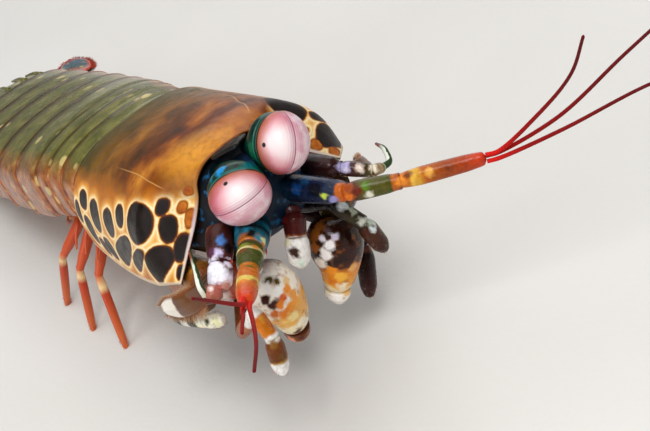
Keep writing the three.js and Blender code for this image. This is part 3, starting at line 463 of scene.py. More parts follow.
def spot_distance(back, around, spots):
    """Millimetres to the edge of the nearest spot, less than zero inside it."""
    nearest = np.full(np.shape(back), NO_SPOT)
    for centre, turn, half_back, half_round, tilt in spots:
        cosine, sine = math.cos(math.radians(tilt)), math.sin(math.radians(tilt))
        across = (back - centre) * cosine + (around - turn) * sine
        down = (around - turn) * cosine - (back - centre) * sine
        powers = np.abs(across / half_back) ** SPOT_SQUARENESS + np.abs(down / half_round) ** SPOT_SQUARENESS
        reach = powers ** (1 / SPOT_SQUARENESS)
        nearest = np.minimum(nearest, (reach - 1) * (half_back + half_round) / 2)
    return nearest


def carapace_look():
    look = Look("carapace_shell", Coat_Weight=0.08, Coat_Roughness=0.2)
    ground = look.ramp(look.noise(7.0, 3.0, 0.5, 0.3), [
        (0.3, "381604"), (0.44, "6a3006"), (0.58, "a05810"), (0.74, "cc8426"),
    ])
    # Golden tint round that place, fading over 6.5 mm: a painted highlight of the front light
    ground = look.tint(ground, "e09a34", look.distance(PAINTED_GLOW_PLACE), 1.0 * MM, 6.5 * MM, 0.75, 0.0)
    ground = look.tint(ground, "5a2a0a", look.noise(0.9), 0.45, 0.75, 0.0, 0.35)
    ground = look.tint(ground, "4a4312", "back", 11.0, 33.0, 0.0, 0.85)
    wavy = look.wobble("spot", 1.3, 0.2, 2.0)
    net = look.ramp(look.map(wavy, 0.0, 2.0), [
        (0.0, "8a4410"), (0.06, "eeb050"), (0.15, "fdecc0"), (0.26, "f8ca7c"), (0.5, "e0963a"),
        (1.0, "b86c1c"),
    ])
    base = look.tint(ground, net, look.wobble("flank", 3.0, 1.6), 9.5, 13.0)
    dark = look.ramp(look.noise(1.6), [(0.3, "0a0402"), (0.7, "1e0d05")])
    amber = look.ramp(look.noise(1.2), [(0.3, "9a4408"), (0.7, "d07a1c")])
    spots = look.tint(look.tint(dark, amber, "amber", 0.3, 0.7), "6a3008", wavy, -0.3, -0.02, 0.0, 0.65)
    base = look.tint(base, spots, wavy, -0.06, 0.06, 1.0, 0.0)
    line = look.map(look.compute("ABSOLUTE", "groove"), 0.04, 0.14, 0.55, 0.0)
    base = look.mix(look.times(line, "grooved"), base, "dca860")
    rim = look.ramp(look.map("flank", 0.0, 25.0), [
        (0.25, "8a4a14"), (0.5, "c08a50"), (0.66, "d9c6cc"), (1.0, "e6d2b4"),
    ])
    base = look.tint(base, rim, "border", 0.14, 0.34, 0.95, 0.0)
    # The shell's inner face is painted nearly black: painted shade of the hollow under the carapace
    base = look.tint(base, "1a1008", "inside", 0.1, 0.6, 0.0, 0.9)
    return look.finish(base, (1.5, 0.3, 0.48), [(0.4, 0.03, 4.0), (2.5, 0.12)])


def make_carapace():
    along = np.concatenate([np.linspace(0, FRONT_SHARE, FRONT_ROWS, endpoint=False),
                            np.linspace(FRONT_SHARE, 1, CARAPACE_ROWS - FRONT_ROWS)])[:, None]
    around = np.linspace(-1, 1, CARAPACE_COLUMNS)[None, :]
    back = along * CARAPACE_LENGTH
    girth = around * CARAPACE_GIRTH
    side = np.abs(girth)
    groove = side - np.where(girth < 0, profile(GROOVES["right"], back), profile(GROOVES["left"], back))
    grooved = smoothstep(back, *GROOVE_START) * smoothstep(-back, *GROOVE_END)
    nape = np.exp(-(((back - NAPE_BACK - NAPE_BOW * girth**2) / NAPE_WIDTH) ** 2)) * (side < NAPE_REACH)
    relief = GROOVE_DEPTH * grooved * np.exp(-((groove / GROOVE_WIDTH) ** 2)) + NAPE_DEPTH * nape
    border = np.minimum(back, CARAPACE_GIRTH - side)
    thickness = CARAPACE_THICKNESS * (RIM_THINNESS + (1 - RIM_THINNESS) * smoothstep(border, 0, RIM_WIDTH))
    outer, inner = carapace_inside(along, around, relief), carapace_inside(along, around, thickness)
    edge = (outer + inner) / 2 - [0, RIM_DROP, 0]
    rings = np.concatenate([outer, edge[:, -1:], inner[:, ::-1], edge[:, :1]], axis=1)
    dark, amber = (
        np.where(girth < 0, spot_distance(back, side, right), spot_distance(back, side, left))
        for right, left in ((RIGHT_SPOTS + REAR_SPOTS, LEFT_SPOTS + REAR_SPOTS),
                            (RIGHT_AMBER_SPOTS, LEFT_AMBER_SPOTS))
    )

    def spread(outside, inside):
        outside = np.broadcast_to(outside, (CARAPACE_ROWS, CARAPACE_COLUMNS))
        inside = np.full(outside.shape, inside)
        return np.concatenate([outside, outside[:, -1:], inside, outside[:, :1]], axis=1)

    shape = Shape()
    shape.grid(
        head(rings), "strip", spot=spread(np.minimum(dark, amber), 3.0), flank=spread(side, 10.0),
        border=spread(border, 0.6), back=spread(back, 10.0), groove=spread(groove, 3.0),
        inside=spread(0.0, 1.0), amber=spread(amber < dark, 0.0), grooved=spread(grooved, 0.0),
    )
    shape.dress("carapace", carapace_look(), "carapace_shell")


def turns(count, start=0.0):
    return 2 * math.pi * (np.arange(count) + start) / count


def frames(along, side):
    """Across and over directions square to each direction along, the first of them near a side."""
    side = np.asarray(side, float)
    across = unit(side - along * (along @ side)[..., None])
    return across, np.cross(along, across)


def oval(across, over, turn, wide=1.0, deep=1.0):
    """Offsets at angles round an axis, with half-sizes across it and over it."""
    turn = np.asarray(turn, float)
    return across * (wide * np.cos(turn))[..., None] + over * (deep * np.sin(turn))[..., None]


def tube(shape, places, directions, wide, deep, side, reach, sides, corners=0.0):
    """A tube of oval rings: places, directions and half-sizes across and over for each ring."""
    across, over = frames(directions, side)
    turn = turns(sides)
    bulge = 1 + corners * np.cos(3 * turn + 0.6)
    offsets = oval(across[:, None], over[:, None], turn, wide[:, None] * bulge, deep[:, None] * bulge)
    shape.grid(places[:, None] + offsets, reach=reach[:, None], turn=np.cos(turn))


def rod(shape, path, radius, side, sides, depth=1.0, corners=0.0, start=0.0):
    """A tube along a curved path, with a half-width for each of its rings."""
    curve = Curve(path)
    share = np.linspace(0, 1, len(radius))
    tube(shape, curve.even(share), curve.tangent(share), radius, radius * depth, side,
         start + share * curve.length, sides, corners)


def whip(shape, path, root, tip, side, sides, steps, start=0.0):
    """A thin rod that tapers from its root to a rounded tip."""
    radius = np.linspace(root, tip, steps)
    radius[-1] *= 0.3
    rod(shape, path, radius, side, sides, start=start)


PINCH = 0.82
LAP = 0.05
LIMB_CORNERS, CLAW_CORNERS = 0.05, 0.03
END_SHARE, END_RINGS = 0.9, 9
BLADE_SQUARENESS = 2.6
RIDGE_WIDTH = 0.16


def limb(shape, joints, fullness, side, tip, depth=1.0, sides=28, steps=26):
    """Jointed pods: each swells between its joints, ends in a rim, and laps the next."""
    joints = np.asarray(joints, float)
    reach = 0.0
    for i, full in enumerate(fullness):
        along = joints[i + 1] - joints[i]
        length = np.linalg.norm(along)
        along = along / length
        last = i + 1 == len(fullness)
        before = full * 0.9 if i == 0 else min(full, fullness[i - 1]) * PINCH
        after = tip if last else min(full, fullness[i + 1]) * PINCH
        stops = [(0.0, before * 0.7), (0.05, before * 0.98), (0.3, full), (0.74, full * 0.93)]
        if last:
            stops += [(0.9, full * 0.4 + after * 0.6), (0.97, after), (1.0, after * 0.25)]
        else:
            stops += [(0.93, after * 1.12), (0.97, after * 1.14), (1.0, after * 0.96)]
        share = np.append(np.linspace(0, END_SHARE, steps, endpoint=False),
                          np.linspace(END_SHARE, 1, END_RINGS))
        radius = profile(stops, share)
        start = -LAP if i else 0.0
        places = joints[i] + np.outer(start * length + share * length * (1 - start), along)
        tube(shape, places, np.tile(along, (len(share), 1)), radius, radius * depth, side,
             reach + share * length, sides, LIMB_CORNERS)
        reach += length


def blade(shape, path, half_widths, thickness, facing, steps, across_steps, ridge=0.0, start=0.0):
    """A flat blade with a lens-shaped section, and the numbers reach and edge (0 middle, 1 rim)."""
    curve = Curve(path)
    share = np.linspace(0, 1, steps)
    width = profile(list(zip(np.linspace(0, 1, len(half_widths)), half_widths)), share)
    along = curve.tangent(share)
    across = unit(np.cross(along, facing))
    over = np.cross(across, along)
    spread = np.sin(np.linspace(-math.pi / 2, math.pi / 2, across_steps))
    lens = thickness / 2 * np.sqrt(np.maximum(1 - np.abs(spread) ** BLADE_SQUARENESS, 0))
    lens = lens * (1 + ridge * np.exp(-((spread / RIDGE_WIDTH) ** 2)))
    section = np.array([*zip(spread, lens), *zip(spread[-2:0:-1], -lens[-2:0:-1])])
    taper = np.clip(np.minimum(share * 12 + 0.5, (1 - share) * 10 + 0.35), 0, 1)
    rings = (
        curve.even(share)[:, None]
        + across[:, None] * (width[:, None] * section[:, 0])[..., None]
        + over[:, None] * (taper[:, None] * section[:, 1])[..., None]
    )
    shape.grid(rings, reach=(start + share * curve.length)[:, None], edge=np.abs(section[:, 0]))
    return curve, share, width, across


SETA_SIDES, SETA_SEGMENTS = 3, 4
SETA_DROOP, SETA_TAPER = 0.28, 0.9
SETA_FLOOR = 0.02
BAKE_SPREAD = 0.003


def setae(roots, heading, lengths, radius, bend, generator):
    """Fine curved tapering needles: the points and faces of them all, and how near its tip each point is."""
    count = len(roots)
    droop = unit(bend)
    sideways = unit(np.cross(heading, droop + 1e-6))
    lift = np.cross(sideways, heading)
    t = np.linspace(0, 1, SETA_SEGMENTS)
    centre = (
        roots[:, None]
        + heading[:, None] * (lengths[:, None] * t)[..., None]
        + droop[:, None] * (lengths[:, None] * SETA_DROOP * t**2)[..., None]
    )
    turn = turns(SETA_SIDES) + generator.uniform(0, 6, count)[:, None]
    ring = oval(sideways[:, None], lift[:, None], turn)
    thin = radius * (1 - SETA_TAPER * t)
    points = centre[:, :, None] + ring[:, None] * thin[None, :, None, None]
    index = np.arange(count * SETA_SEGMENTS * SETA_SIDES).reshape(count, SETA_SEGMENTS, SETA_SIDES)
    after = np.roll(index, -1, axis=2)
    quads = np.stack([index[:, :-1], after[:, :-1], after[:, 1:], index[:, 1:]], -1).reshape(-1, 4)
    ends = np.concatenate([index[:, 0, ::-1], index[:, -1]])
    return points.reshape(-1, 3), [quads, ends], np.tile(np.repeat(t, SETA_SIDES), count)


class Fringe:
    """A coat of bristles, gathered from many rims and built as one piece."""

    def __init__(self, seed):
        self.random = np.random.default_rng(seed)
        self.shape = Shape()
        self.patches = []

    def add(self, roots, heading, length, radius, patch, spread, droop=(0, 0, -1)):
        """Bristles at their roots. The patch is where each reads the baked picture, across and up."""
        count = len(roots)
        heading = unit(heading + self.random.normal(0, spread, (count, 3)))
        lengths = length * self.random.uniform(0.75, 1.1, count)
        bend = np.broadcast_to(np.asarray(droop, float), (count, 3))
        points, faces, tip = setae(roots, heading, lengths, radius, bend, self.random)
        points[:, 2] = np.maximum(points[:, 2], SETA_FLOOR)
        self.shape.chunk(points, faces, tip=tip)
        corner = self.random.uniform(0, BAKE_SPREAD, (count, len(points) // count, 2))
        patch = np.stack(np.broadcast_arrays(*patch), -1)
        self.patches.append((patch[:, None] + corner).reshape(-1, 2))

    def build(self, name, look, slot):
        piece = self.shape.build(name, look, [], slot)
        corners = np.zeros(len(piece.data.loops), int)
        piece.data.loops.foreach_get("vertex_index", corners)
        patches = np.clip(np.vstack(self.patches), 0, 1)
        layer = piece.data.uv_layers.new(name="OFBake")
        layer.data.foreach_set("uv", patches[corners].ravel())


def rim_places(rim, pick, inset, curve, share, width, across):
    """Places on one rim of a blade, 1 or -1, by share of its length, and the ways out and along there."""
    at = np.minimum((pick * (len(share) - 1)).astype(int), len(share) - 1)
    out = across[at] * rim
    return curve.even(share[at]) + out * (width[at] * inset)[:, None], out, curve.tangent(share[at])


def skin_places(generator, start, end, low, high, count, side):
    """Random places round a limb's last article: shares of its length, angles, and directions out of it."""
    pick = generator.uniform(low, high, count)
    turn = generator.uniform(0, 2 * math.pi, count)
    return pick, turn, oval(*frames(unit(end - start), side), turn)


def refine(control, rows, columns):
    """A smooth closed-round grid through a coarse one."""
    control = np.asarray(control, float)
    round_curves = [Curve(np.vstack([ring[-2:], ring, ring[:3]])) for ring in control]
    count = control.shape[1]
    inside = (np.arange(columns) / columns * count + 2) / (count + 4)
    wide = np.stack([curve.at(inside) for curve in round_curves])
    along = np.linspace(0, 1, rows)
    return np.stack([Curve(wide[:, k]).at(along) for k in range(columns)], axis=1)


# Head and the thorax under the carapace. The rings at the front: place forward, half-width, top and bottom.
# The covered ones: share along the carapace, reach round it, half-width and bottom.
CORE_FRONT = [(-3.6, 5.6, -1.6, -9.4), (-6.2, 7.4, 0.6, -11)]
CORE_COVERED = [
    (0.035, 0.56, 9.4, -12), (0.08, 0.54, 9.9, -12.4), (0.14, 0.5, 10.2, -12.5), (0.22, 0.4, 10.4, -12.6),
    (0.6, 0.36, 10.4, -12), (1, 0.34, 10, -9.2),
]
CORE_REAR = -43.15
CORE_MIDDLE = -5.0
CORE_MIDDLE_WIDTH = 0.84
CORE_ROOF_POINTS = 5
CORE_LID = CARAPACE_THICKNESS + GAP + 0.25
CORE_FRONT_ROOF, CORE_ROOF_POWER = 0.96, 0.6
CORE_ROWS, CORE_COLUMNS = 70, 96


def core_lower(half_width, bottom, forward):
    """The lower half of a core ring, from its widest place down to the middle line."""
    corners = [(CORE_MIDDLE_WIDTH, CORE_MIDDLE), (1, CORE_MIDDLE - 2.2), (0.9, CORE_MIDDLE - 4.4),
               (0.56, bottom + 0.6), (0, bottom)]
    return [(half_width * share, up, forward) for share, up in corners]


def make_core():
    halves = []
    for forward, half_width, top, bottom in CORE_FRONT:
        roof = [(half_width * CORE_MIDDLE_WIDTH * CORE_FRONT_ROOF * math.sin(swing),
                 CORE_MIDDLE + (top - CORE_MIDDLE) * math.cos(swing) ** CORE_ROOF_POWER, forward)
                for swing in np.radians(18 * np.arange(CORE_ROOF_POINTS))]
        halves.append(roof + core_lower(half_width, bottom, forward))
    for along, reach, half_width, bottom in CORE_COVERED:
        around = -reach * np.arange(CORE_ROOF_POINTS) / (CORE_ROOF_POINTS - 1)
        roof = carapace_inside(along, around, CORE_LID) * (-1, 1, 1)
        roof[:, 2] = np.maximum(roof[:, 2], CORE_REAR)
        roof[0, 0] = 0
        halves.append([*roof] + core_lower(half_width, bottom, roof[-1, 2]))
    rings = [half + [(-left, up, forward) for left, up, forward in half[-2:0:-1]] for half in halves]
    fine = refine(rings, CORE_ROWS, CORE_COLUMNS)
    shape = Shape()
    shape.grid(head(fine), ahead=fine[..., 2])
    look = Look("head_flesh", Roughness=0.5, Coat_Weight=0.08)
    # Nearly black over most of the head, partly its own dark colour and partly painted shade where it lies
    # under the carapace; bluish towards the front
    base = look.ramp(look.map(look.add("ahead", look.noise(2.5)), -12.0, -3.0), [
        (0.0, "2c1c10"), (0.35, "12161c"), (0.6, "080e18"), (0.85, "0c2a48"), (1.0, "0a1a2a"),
    ])
    base = look.tint(base, "1c5e8a", look.noise(1.4, 2.0), 0.58, 0.7, 0.0, 0.8)
    shape.dress("head", look.finish(base, None, [(0.8, 0.1)]), "body_shell")


ROSTRUM_LENGTH, ROSTRUM_THICKNESS = 4.0, 0.8
ROSTRUM_HALF_WIDTHS = [2.6, 2.9, 2.2, 1.1, 0.3]


def make_rostrum():
    shape = Shape()
    front = CARAPACE_FRONT_EDGE[0][2]
    root, tip = head([[0, 2.6, front + GAP], [0, 3, front + ROSTRUM_LENGTH]])
    blade(shape, [root, (root + tip) / 2, tip], ROSTRUM_HALF_WIDTHS, ROSTRUM_THICKNESS,
          head_direction(0, 1, 0), 40, 16)
    shape.dress("rostrum", shell_look("rostrum", ROSTRUM_LENGTH, 0.55), "carapace_shell")


# Body rings: their names, starts and lengths along the spine, and half-width, rise, drop and flap
THORAX_RING_LENGTH = 5.4
ABDOMEN_RING_LENGTH = 11.4
LAST_RING_REAR = 0.86
SPINE = Curve([head([0, -3.8, -43.5]), (0, 57, 24.6), (0, 73, 20.6), (0, 95, 16), (0, 117, 11.6),
               (0, 137, 6.9), (0, 160, 0.6)], 1200)
THORAX_RINGS = [
    (f"thorax_segment_{5 + k}", k * THORAX_RING_LENGTH, THORAX_RING_LENGTH,
     (12.2 + 0.5 * k, 5.4 + 0.15 * k, 4.4, 0.6 + 0.2 * k)) for k in range(4)
]
ABDOMEN_START = 4 * THORAX_RING_LENGTH
ABDOMEN_RINGS = [
    (f"abdomen_segment_{1 + k}", ABDOMEN_START + k * ABDOMEN_RING_LENGTH, ABDOMEN_RING_LENGTH,
     (14 + 0.9 * math.sin(math.pi * (k + 0.6) / 4.6) - (0.4 if k == 5 else 0), 6.1 - 0.28 * k, 4.2 - 0.22 * k,
      2 - 0.2 * k)) for k in range(6)
]
TELSON_START = ABDOMEN_START + 6 * ABDOMEN_RING_LENGTH
LAST_RING = ABDOMEN_RINGS[-1][0]
# Keels of the last ring: their places to the side, and each one's places back, narrowing and rise
LAST_RING_KEELS = (0.2, 0.5, 0.76)
KEEL_BACK, KEEL_NARROWING, KEEL_RISE = np.array([[0.3, 0.62, 0.99], [0.99, 0.96, 0.86], [-0.3, 0.2, 0.5]])
RING_ROWS = 26
DOME_POWER = 0.86


def spine_place(distance, side, rise):
    """A place by the body's middle line: distance back along it, to the side and up."""
    distance, side, rise = (np.asarray(a, float) for a in np.broadcast_arrays(distance, side, rise))
    share = distance / SPINE.length
    along = SPINE.tangent(share)
    up = np.stack([np.zeros_like(side), -along[..., 2], along[..., 1]], -1)
    place = SPINE.even(share) + up * rise[..., None]
    place[..., 0] += side
    return place


def body_half_outline(size, count=60):
    width, rise, drop, flap = size
    swings = np.radians([0, 9, 18, 36, 54, 72, 90])
    dome = [(width * math.sin(s) ** DOME_POWER, rise * max(math.cos(s), 0) ** DOME_POWER) for s in swings]
    points = dome + [(width * 0.98, -drop - flap), (width * 0.76, -drop * 0.94), (0, -drop)]
    return Curve(points).even(np.linspace(0, 1, count))


def body_look(name, length):
    look = Look(name, Coat_Weight=0.45, Coat_Roughness=0.12)
    back = look.map(look.wobble("reach", 2.0, 0.5), 0, length)
    ground = look.ramp(look.noise(3.2, 4.0, 0.6, 0.4), [
        (0.3, "3c4016"), (0.48, "5d5c22"), (0.62, "787234"), (0.8, "938a48"),
    ])
    band = look.ramp(back, [
        (0.0, "565622"), (0.62, "6f6b2e"), (0.8, "4a3a18"), (0.93, "2e2410"), (1.0, "7a2c16"),
    ])
    base = look.tint(ground, band, back, 0.6, 0.85, 0.25, 0.85)
    flank = look.ramp(look.noise(1.8), [(0.35, "7c3418"), (0.6, "b8652a"), (0.8, "d9b070")])
    base = look.tint(base, flank, look.wobble("side", 2.4, 0.12), 0.72, 1.0, 0.0, 0.85)
    belly = look.ramp(look.noise(2.0), [(0.3, "b87850"), (0.7, "d8b088")])
    base = look.tint(base, belly, "belly", 0.2, 0.9)
    spots = look.times(look.map(look.cells(4.6), 0.16, 0.24, 0.7, 0.0), look.map("side", 0.2, 0.5))
    base = look.mix(spots, base, "d8c07c")
    return look.finish(base, (1.5, 0.24, 0.42), [(0.45, 0.035, 4.0), (2.6, 0.2)])


def make_ring(name, start, length, size, look):
    half = body_half_outline(size)
    outline = np.vstack([half, half[-2:0:-1] * [-1, 1]])
    rear = LAST_RING_REAR if name == LAST_RING else 1.01
    shoulder = (1 + rear) / 2
    stations = [(GAP / 2, 0.93), (0.5, 0.95), (length * 0.2, 0.985), (length * 0.5, 0.998),
                (length * 0.78, shoulder), (length - 1.3, rear), (length - 1.05, rear - 0.016),
                (length - 0.8, rear), (length - 0.35, rear + 0.012), (length - GAP / 2, rear)]
    back = np.linspace(GAP / 2, length - GAP / 2, RING_ROWS)
    back = np.unique(np.concatenate([back, [place for place, _ in stations]]))[:, None]
    scale = profile(stations, back)
    shape = Shape()
    width, height = np.abs(outline[:, 0]), outline[:, 1]
    belly = np.clip(-height / size[2], 0, 1) * (width < size[0] * 0.92)
    shape.grid(spine_place(start + back, outline[:, 0] * scale, height * scale),
               reach=back, side=width / size[0], belly=belly)
    if name == LAST_RING:
        for share in LAST_RING_KEELS:
            roof = size[1] * math.cos(math.asin(share ** (1 / DOME_POWER))) ** DOME_POWER
            for sign in (1, -1):
                path = spine_place(start + KEEL_BACK * length, size[0] * share * sign * KEEL_NARROWING,
                                   roof * KEEL_NARROWING + KEEL_RISE)
                whip(shape, path, 0.75, 0.2, LEFT, 12, 24)
    shape.dress(name, look, "body_shell")


def make_rings():
    for k, rings in enumerate((THORAX_RINGS, ABDOMEN_RINGS)):
        look = body_look(f"body_shell_{k + 1}", rings[0][2])
        for ring in rings:
            make_ring(*ring, look)


# Swimming legs: the paddles' roots, tips and half-widths to the side of the middle line
PADDLES = [(7.2, 9.4, 2.6), (5.6, 4.2, 2.1)]
PADDLE_BRISTLES = 46
GILL_FILAMENTS = 16


def make_swimming_legs(fringe):
    """Stalks, paddles and gill filaments under the first five abdomen rings."""
    limbs, gills = Shape(), Shape()
    generator = np.random.default_rng(11)
    for _, start, length, size in ABDOMEN_RINGS[:-1]:
        middle = start + length * 0.45

        def local(side, back, rise):
            return spine_place(middle + back, side, rise - size[2])

        along = SPINE.tangent(middle / SPINE.length)
        facing = unit(along + 0.6 * np.array([0, -along[2], along[1]]))
        for sign in (1, -1):
            limb(limbs, [local(6.4 * sign, -0.5, 1.6), local(6.9 * sign, 0.6, -2.6)], [1.5], LEFT, 1.1)
            for root, tip, wide in PADDLES:
                path = [local(root * sign, 0.4, -1.4), local((root + tip) / 2 * sign, 2.3, -4.2),
                        local(tip * sign, 5, -6.6)]
                widths = [1, wide, wide * 1.05, wide * 0.35]
                paddle = blade(limbs, path, widths, 0.7, facing, 36, 14, 0.3, 4.0)
                for rim in (1, -1):
                    pick = generator.uniform(0.25, 1.0, PADDLE_BRISTLES)
                    roots, out, ahead = rim_places(rim, pick, 0.93, *paddle)
                    fringe.add(roots, out * 0.8 + ahead * (0.5 + 1.1 * pick[:, None]), 1.5, 0.05,
                               ((start + 4 * pick) / 100, 0.5 + 0.1 * rim * sign), 0.12)
            for _ in range(GILL_FILAMENTS):
                drift = generator.uniform(-0.5, 0.5)
                a, b, c, d = generator.uniform(size=4)
                path = [local(5.2 * sign, drift * 3.4, 0.5),
                        local((3.9 + 0.6 * a) * sign, drift * 4.6, -1.2 - 0.8 * b),
                        local((2 + 1.6 * c) * sign, drift * 5.6 + 0.5, -1.8 - 1.6 * d)]
                whip(gills, path, 0.24, 0.1, LEFT, 6, 14)
    look = Look("swimming_leg", Roughness=0.45, Subsurface_Weight=0.1)
    base = look.ramp(look.map("edge", 0.1, 1.0), [(0, "c8884c"), (0.6, "c9632c"), (1, "a83418")])
    base = look.tint(base, "e0b078", look.noise(1.5), 0.4, 0.7)
    nodes = [name for name, *_ in ABDOMEN_RINGS[:-1]]
    limbs.build("swimming_legs", look.finish(base, None, [(0.5, 0.05)]), nodes, "walking_leg")
    look = Look("gill_filaments", Roughness=0.5, Subsurface_Weight=0.15)
    base = look.ramp(look.noise(1.0), [(0.3, "c05a4a"), (0.6, "dc9480"), (0.8, "f0c8b0")])
    gills.build("gills", look.finish(base, None, [(0.3, 0.04)]), nodes, "walking_leg")


# Tail: half the telson's outline as shares of its half-width and length, and its keels: place to the side,
# start, end, height and width
TELSON_LENGTH = 19.0
TELSON_HALF_WIDTH = 10.6
TELSON_THICKNESS = 3.6
TELSON_LIFT = -1.3
TELSON_RIM = 0.45
TELSON_CENTRE = 0.42
TELSON_EDGE, TELSON_UNDER = -0.2, -1.0
KEEL_HEIGHT = 0.62
TELSON_COLUMNS, TELSON_TOP_ROWS, TELSON_UNDER_ROWS = 300, 50, 16
TELSON_OUTLINE = [
    (0.86, 0.02), (1, 0.2), (0.99, 0.45), (0.9, 0.66), (0.9, 0.78), (0.74, 0.74),
    (0.66, 0.95), (0.5, 0.84), (0.27, 1), (0.12, 0.88),
]
TELSON_KEELS = [(0.0, 0.06, 0.8, 1.7, 0.055), (0.3, 0.14, 0.92, 1.3, 0.045), (0.55, 0.2, 0.86, 1.1, 0.04),
                (0.8, 0.24, 0.72, 0.9, 0.04)]


def make_telson():
    loop = [(0, 0)] + TELSON_OUTLINE + [(0, 0.86)] + [(-a, b) for a, b in TELSON_OUTLINE[::-1]]
    corners = np.array(loop + loop[:1]) * [TELSON_HALF_WIDTH, TELSON_LENGTH]
    lengths = np.concatenate([[0], np.cumsum(np.linalg.norm(np.diff(corners, axis=0), axis=1))])
    walk = np.linspace(0, lengths[-1], TELSON_COLUMNS, endpoint=False)
    outline = np.stack([np.interp(walk, lengths, corners[:, k]) for k in (0, 1)], -1)
    soft = (outline + np.roll(outline, 1, 0) + np.roll(outline, -1, 0)) / 3
    centre = np.array([0, TELSON_LENGTH * TELSON_CENTRE])
    shares = np.concatenate([np.sqrt(np.linspace(0.0016, 1, TELSON_TOP_ROWS)), [1.0],
                             np.linspace(0.995, 0.1, TELSON_UNDER_ROWS)])[:, None]
    flat = centre + (soft - centre) * shares[..., None]
    side, back = flat[..., 0] / TELSON_HALF_WIDTH, flat[..., 1] / TELSON_LENGTH
    dome = TELSON_RIM + (TELSON_THICKNESS * 0.8 - TELSON_RIM) * (1 - shares**1.7)
    keels = np.zeros_like(side)
    for place, start, end, tall, wide in TELSON_KEELS:
        lean = place * (0.8 + 0.2 * smoothstep(back, start, (start + end) / 2))
        run = smoothstep(back, start - 0.05, start + 0.12) * smoothstep(-back, -end - 0.03, -end + 0.04)
        keels = np.maximum(keels, KEEL_HEIGHT * tall * run * np.exp(-(((np.abs(side) - lean) / wide) ** 2)))
    height = dome + keels * np.clip((1 - shares) * 8, 0.25, 1)
    height[TELSON_TOP_ROWS] = TELSON_EDGE
    height[TELSON_TOP_ROWS + 1:] = (TELSON_UNDER + 0.15 * shares)[TELSON_TOP_ROWS + 1:]
    shape = Shape()
    shape.grid(spine_place(TELSON_START + GAP + flat[..., 1], flat[..., 0], TELSON_LIFT + height),
               keel=keels, rim=shares)
    shape.stay_above_floor()
    look = Look("telson_shell", Coat_Weight=0.5, Coat_Roughness=0.12)
    ground = look.ramp(look.noise(2.6, 4.0, 0.6, 0.3), [(0.3, "34421c"), (0.5, "5c6428"), (0.68, "8a7a34")])
    base = look.tint(ground, "c25a24", "keel", 0.15, 0.75)
    base = look.tint(base, "b23a1c", look.wobble("rim", 1.5, 0.06), 0.8, 0.98)
    base = look.tint(base, "e2cf8e", look.cells(3.4), 0.12, 0.2, 0.6, 0.0)
    shape.dress("telson", look.finish(base, (1.5, 0.22, 0.4), [(0.5, 0.05, 4.0)]), "tail_fan")


# The left uropod's path of each blade, its half-widths and thickness, and how many bristles each rim has
UROPOD_STALK = [(9.6, 125, 4.6), (14.1, 132.6, 3.7)]
UROPOD_BLADES = {
    "exopod": ([(14.5, 133, 3.5), (18.4, 138.2, 2.6), (21.6, 144, 1.4), (23, 150.6, 0.6)],
               [1.2, 2.3, 2.8, 2.7, 3.7, 3.5, 2.6, 0.9], 1.3, 420),
    "endopod": ([(13.4, 134, 2.9), (14.6, 139.6, 2.1), (16, 148, 0.7)], [0.9, 1.9, 2.4, 2, 0.6], 1.1, 300),
}
UROPOD_SPINES = 9


def uropod_look():
    look = Look("tail_fan_shell", Coat_Weight=0.5, Coat_Roughness=0.12)
    base = look.ramp(look.map(look.add("reach", look.noise(1.6)), 0, 19), [
        (0.0, "5a6a2a"), (0.3, "7a8436"), (0.42, "d8b860"), (0.5, "b8481e"), (0.62, "2c4a4a"),
        (0.85, "3c5a6c"), (1.0, "b03a1c"),
    ])
    base = look.tint(base, "b8361a", "edge", 0.72, 0.95)
    base = look.tint(base, "d8a860", look.noise(1.3), 0.58, 0.72, 0.0, 0.7)
    return look.finish(base, (1.2, 0.24, 0.42), [(0.5, 0.05, 4.0)])


def make_uropods(fringe):
    generator = np.random.default_rng(5)
    look = uropod_look()
    for name, sign in SIDES:
        mirror = np.array([sign, 1, 1])
        up = unit(np.array([0.12, -0.25, 1.0]) * mirror)
        stalk = Shape()
        limb(stalk, UROPOD_STALK * mirror, [2.1], LEFT, 1.5, 0.85)
        stalk.dress(f"uropod_{name}_base", look, "tail_fan")
        for part, (path, widths, thick, count) in UROPOD_BLADES.items():
            outer = part == "exopod"
            shape = Shape()
            parts = blade(shape, path * mirror, widths, thick, up, 90, 18, 0.35)
            if outer:
                curve = parts[0]
                for t in 0.1 + 0.42 * np.arange(UROPOD_SPINES) / (UROPOD_SPINES - 1):
                    along = curve.tangent(t)
                    outward = unit(np.cross(along, up)) * sign
                    root = curve.even(t) + outward * 1.3
                    tip = root + outward * (1.3 + 0.5 * t) + along * (1.6 + 1.4 * t)
                    whip(shape, [root, (root + tip) / 2 + 0.1 * up, tip], 0.42, 0.1, UP, 10, 14, 9.0)
            shape.stay_above_floor()
            shape.dress(f"uropod_{name}_{part}", look, "tail_fan")
            for rim in (1, -1):
                pick = generator.uniform(0.52 if outer and rim == sign else 0.3, 1.0, count)
                roots, out, ahead = rim_places(rim, pick, 0.95, *parts)
                heading = out * np.cos(pick * 1.4)[:, None] + ahead * (0.3 + 1.3 * pick[:, None])
                fringe.add(roots, heading, 2.4, 0.05, (0.9 * pick + 0.02, 0.3 + 0.1 * rim + 0.2 * outer),
                           0.1, (0, 0.2, -0.4))


# Eyes
EYE_ALONG_BAND, EYE_ACROSS_BAND, EYE_DEPTH = 4.15, 3.8, 3.8
EYE_RIM_ANGLE = math.radians(104)
